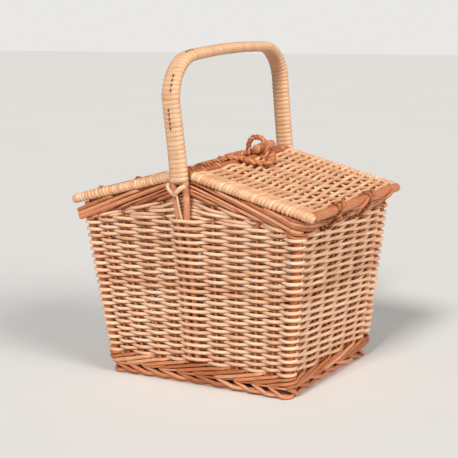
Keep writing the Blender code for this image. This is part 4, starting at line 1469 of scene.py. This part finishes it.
def add_camera():
    """The camera at the photograph's place."""
    around, raised, roll = (math.radians(angle)
                            for angle in (CAMERA_AROUND, CAMERA_UP, CAMERA_ROLL))
    back = Vector((math.sin(around) * math.cos(raised),
                   -math.cos(around) * math.cos(raised), math.sin(raised)))
    side = (-back).cross(Vector((0, 0, 1))).normalized()
    up = side.cross(-back)
    turned_side = side * math.cos(roll) + up * math.sin(roll)
    turned_up = up * math.cos(roll) - side * math.sin(roll)
    data = bpy.data.cameras.new("camera")
    data.lens = CAMERA_LENS
    data.sensor_width = CAMERA_SENSOR
    camera = bpy.data.objects.new("camera", data)
    bpy.context.scene.collection.objects.link(camera)
    axes = Matrix((turned_side, turned_up, back)).transposed().to_4x4()
    place = CAMERA_TARGET + back * CAMERA_DISTANCE
    camera.matrix_world = Matrix.Translation(place) @ axes
    bpy.context.scene.camera = camera


class BASKET_OT_stage(bpy.types.Operator):
    """Set the plain floor, the even light and the camera"""

    bl_idname = "basket.stage"
    bl_label = "Stage"

    def execute(self, context):
        stage = context.scene.basket_stage
        work = bmesh.new()
        bmesh.ops.create_grid(work, x_segments=1, y_segments=1, size=FLOOR_SIZE)
        mesh = bpy.data.meshes.new("studio_floor")
        work.to_mesh(mesh)
        work.free()
        mesh.materials.append(plain_material("painted_floor", tuple(stage.floor),
                                             roughness=0.75))
        floor = bpy.data.objects.new("studio_floor", mesh)
        context.scene.collection.objects.link(floor)
        world = bpy.data.worlds.new("studio")
        context.scene.world = world
        world.use_nodes = True
        tree = world.node_tree
        tree.nodes.clear()
        rays = add_node(tree, "ShaderNodeLightPath")
        seen = add_node(tree, "ShaderNodeBackground",
                        {"Color": (*stage.backdrop, 1), "Strength": 1.0})
        sky = add_node(tree, "ShaderNodeBackground",
                       {"Color": (*linear("#F4F6FA"), 1), "Strength": stage.sky})
        both = add_node(tree, "ShaderNodeMixShader", {0: rays.outputs["Is Camera Ray"],
                                                      1: sky.outputs[0],
                                                      2: seen.outputs[0]})
        add_node(tree, "ShaderNodeOutputWorld", {"Surface": both.outputs[0]})
        add_lamp("key_light", (0.2, -1.45, 1.5), stage.key, softness=14, colour="#FFFDF9")
        add_lamp("fill_light", (1.7, -0.4, 1.2), stage.fill, softness=30,
                 colour="#FFFBF4")
        add_camera()
        context.scene.view_settings.view_transform = "Standard"
        return {"FINISHED"}


OPERATORS = (BASKET_OT_stage, BASKET_OT_walls, BASKET_OT_uprights, BASKET_OT_top_border,
             BASKET_OT_wale, BASKET_OT_foot_border, BASKET_OT_floor,
             BASKET_OT_handle_binding, BASKET_OT_lids, BASKET_OT_hinge_loops,
             BASKET_OT_closure)


class BASKET_PT_panel(bpy.types.Panel):
    """The basket's settings and pieces"""

    bl_idname = "BASKET_PT_panel"
    bl_label = "Pie Basket"
    bl_space_type = "VIEW_3D"
    bl_region_type = "UI"
    bl_category = "Basket"

    def draw(self, context):
        for group in (context.scene.basket_rods, context.scene.basket_stage):
            for name in group.__annotations__:
                self.layout.prop(group, name)
        for operator in OPERATORS:
            self.layout.operator(operator.bl_idname)


CLASSES = (BasketRodSettings, BasketStageSettings) + OPERATORS + (BASKET_PT_panel,)


def register():
    """Add the classes and settings to Blender."""
    for item in CLASSES:
        bpy.utils.register_class(item)
    bpy.types.Scene.basket_rods = bpy.props.PointerProperty(type=BasketRodSettings)
    bpy.types.Scene.basket_stage = bpy.props.PointerProperty(type=BasketStageSettings)


def unregister():
    """Take the settings and classes out again."""
    del bpy.types.Scene.basket_stage
    del bpy.types.Scene.basket_rods
    for item in reversed(CLASSES):
        bpy.utils.unregister_class(item)


def main():
    """Make every piece in order."""
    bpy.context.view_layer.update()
    register()
    for operator in OPERATORS:
        group, name = operator.bl_idname.split(".")
        getattr(getattr(bpy.ops, group), name)()


if __name__ == "__main__":
    main()
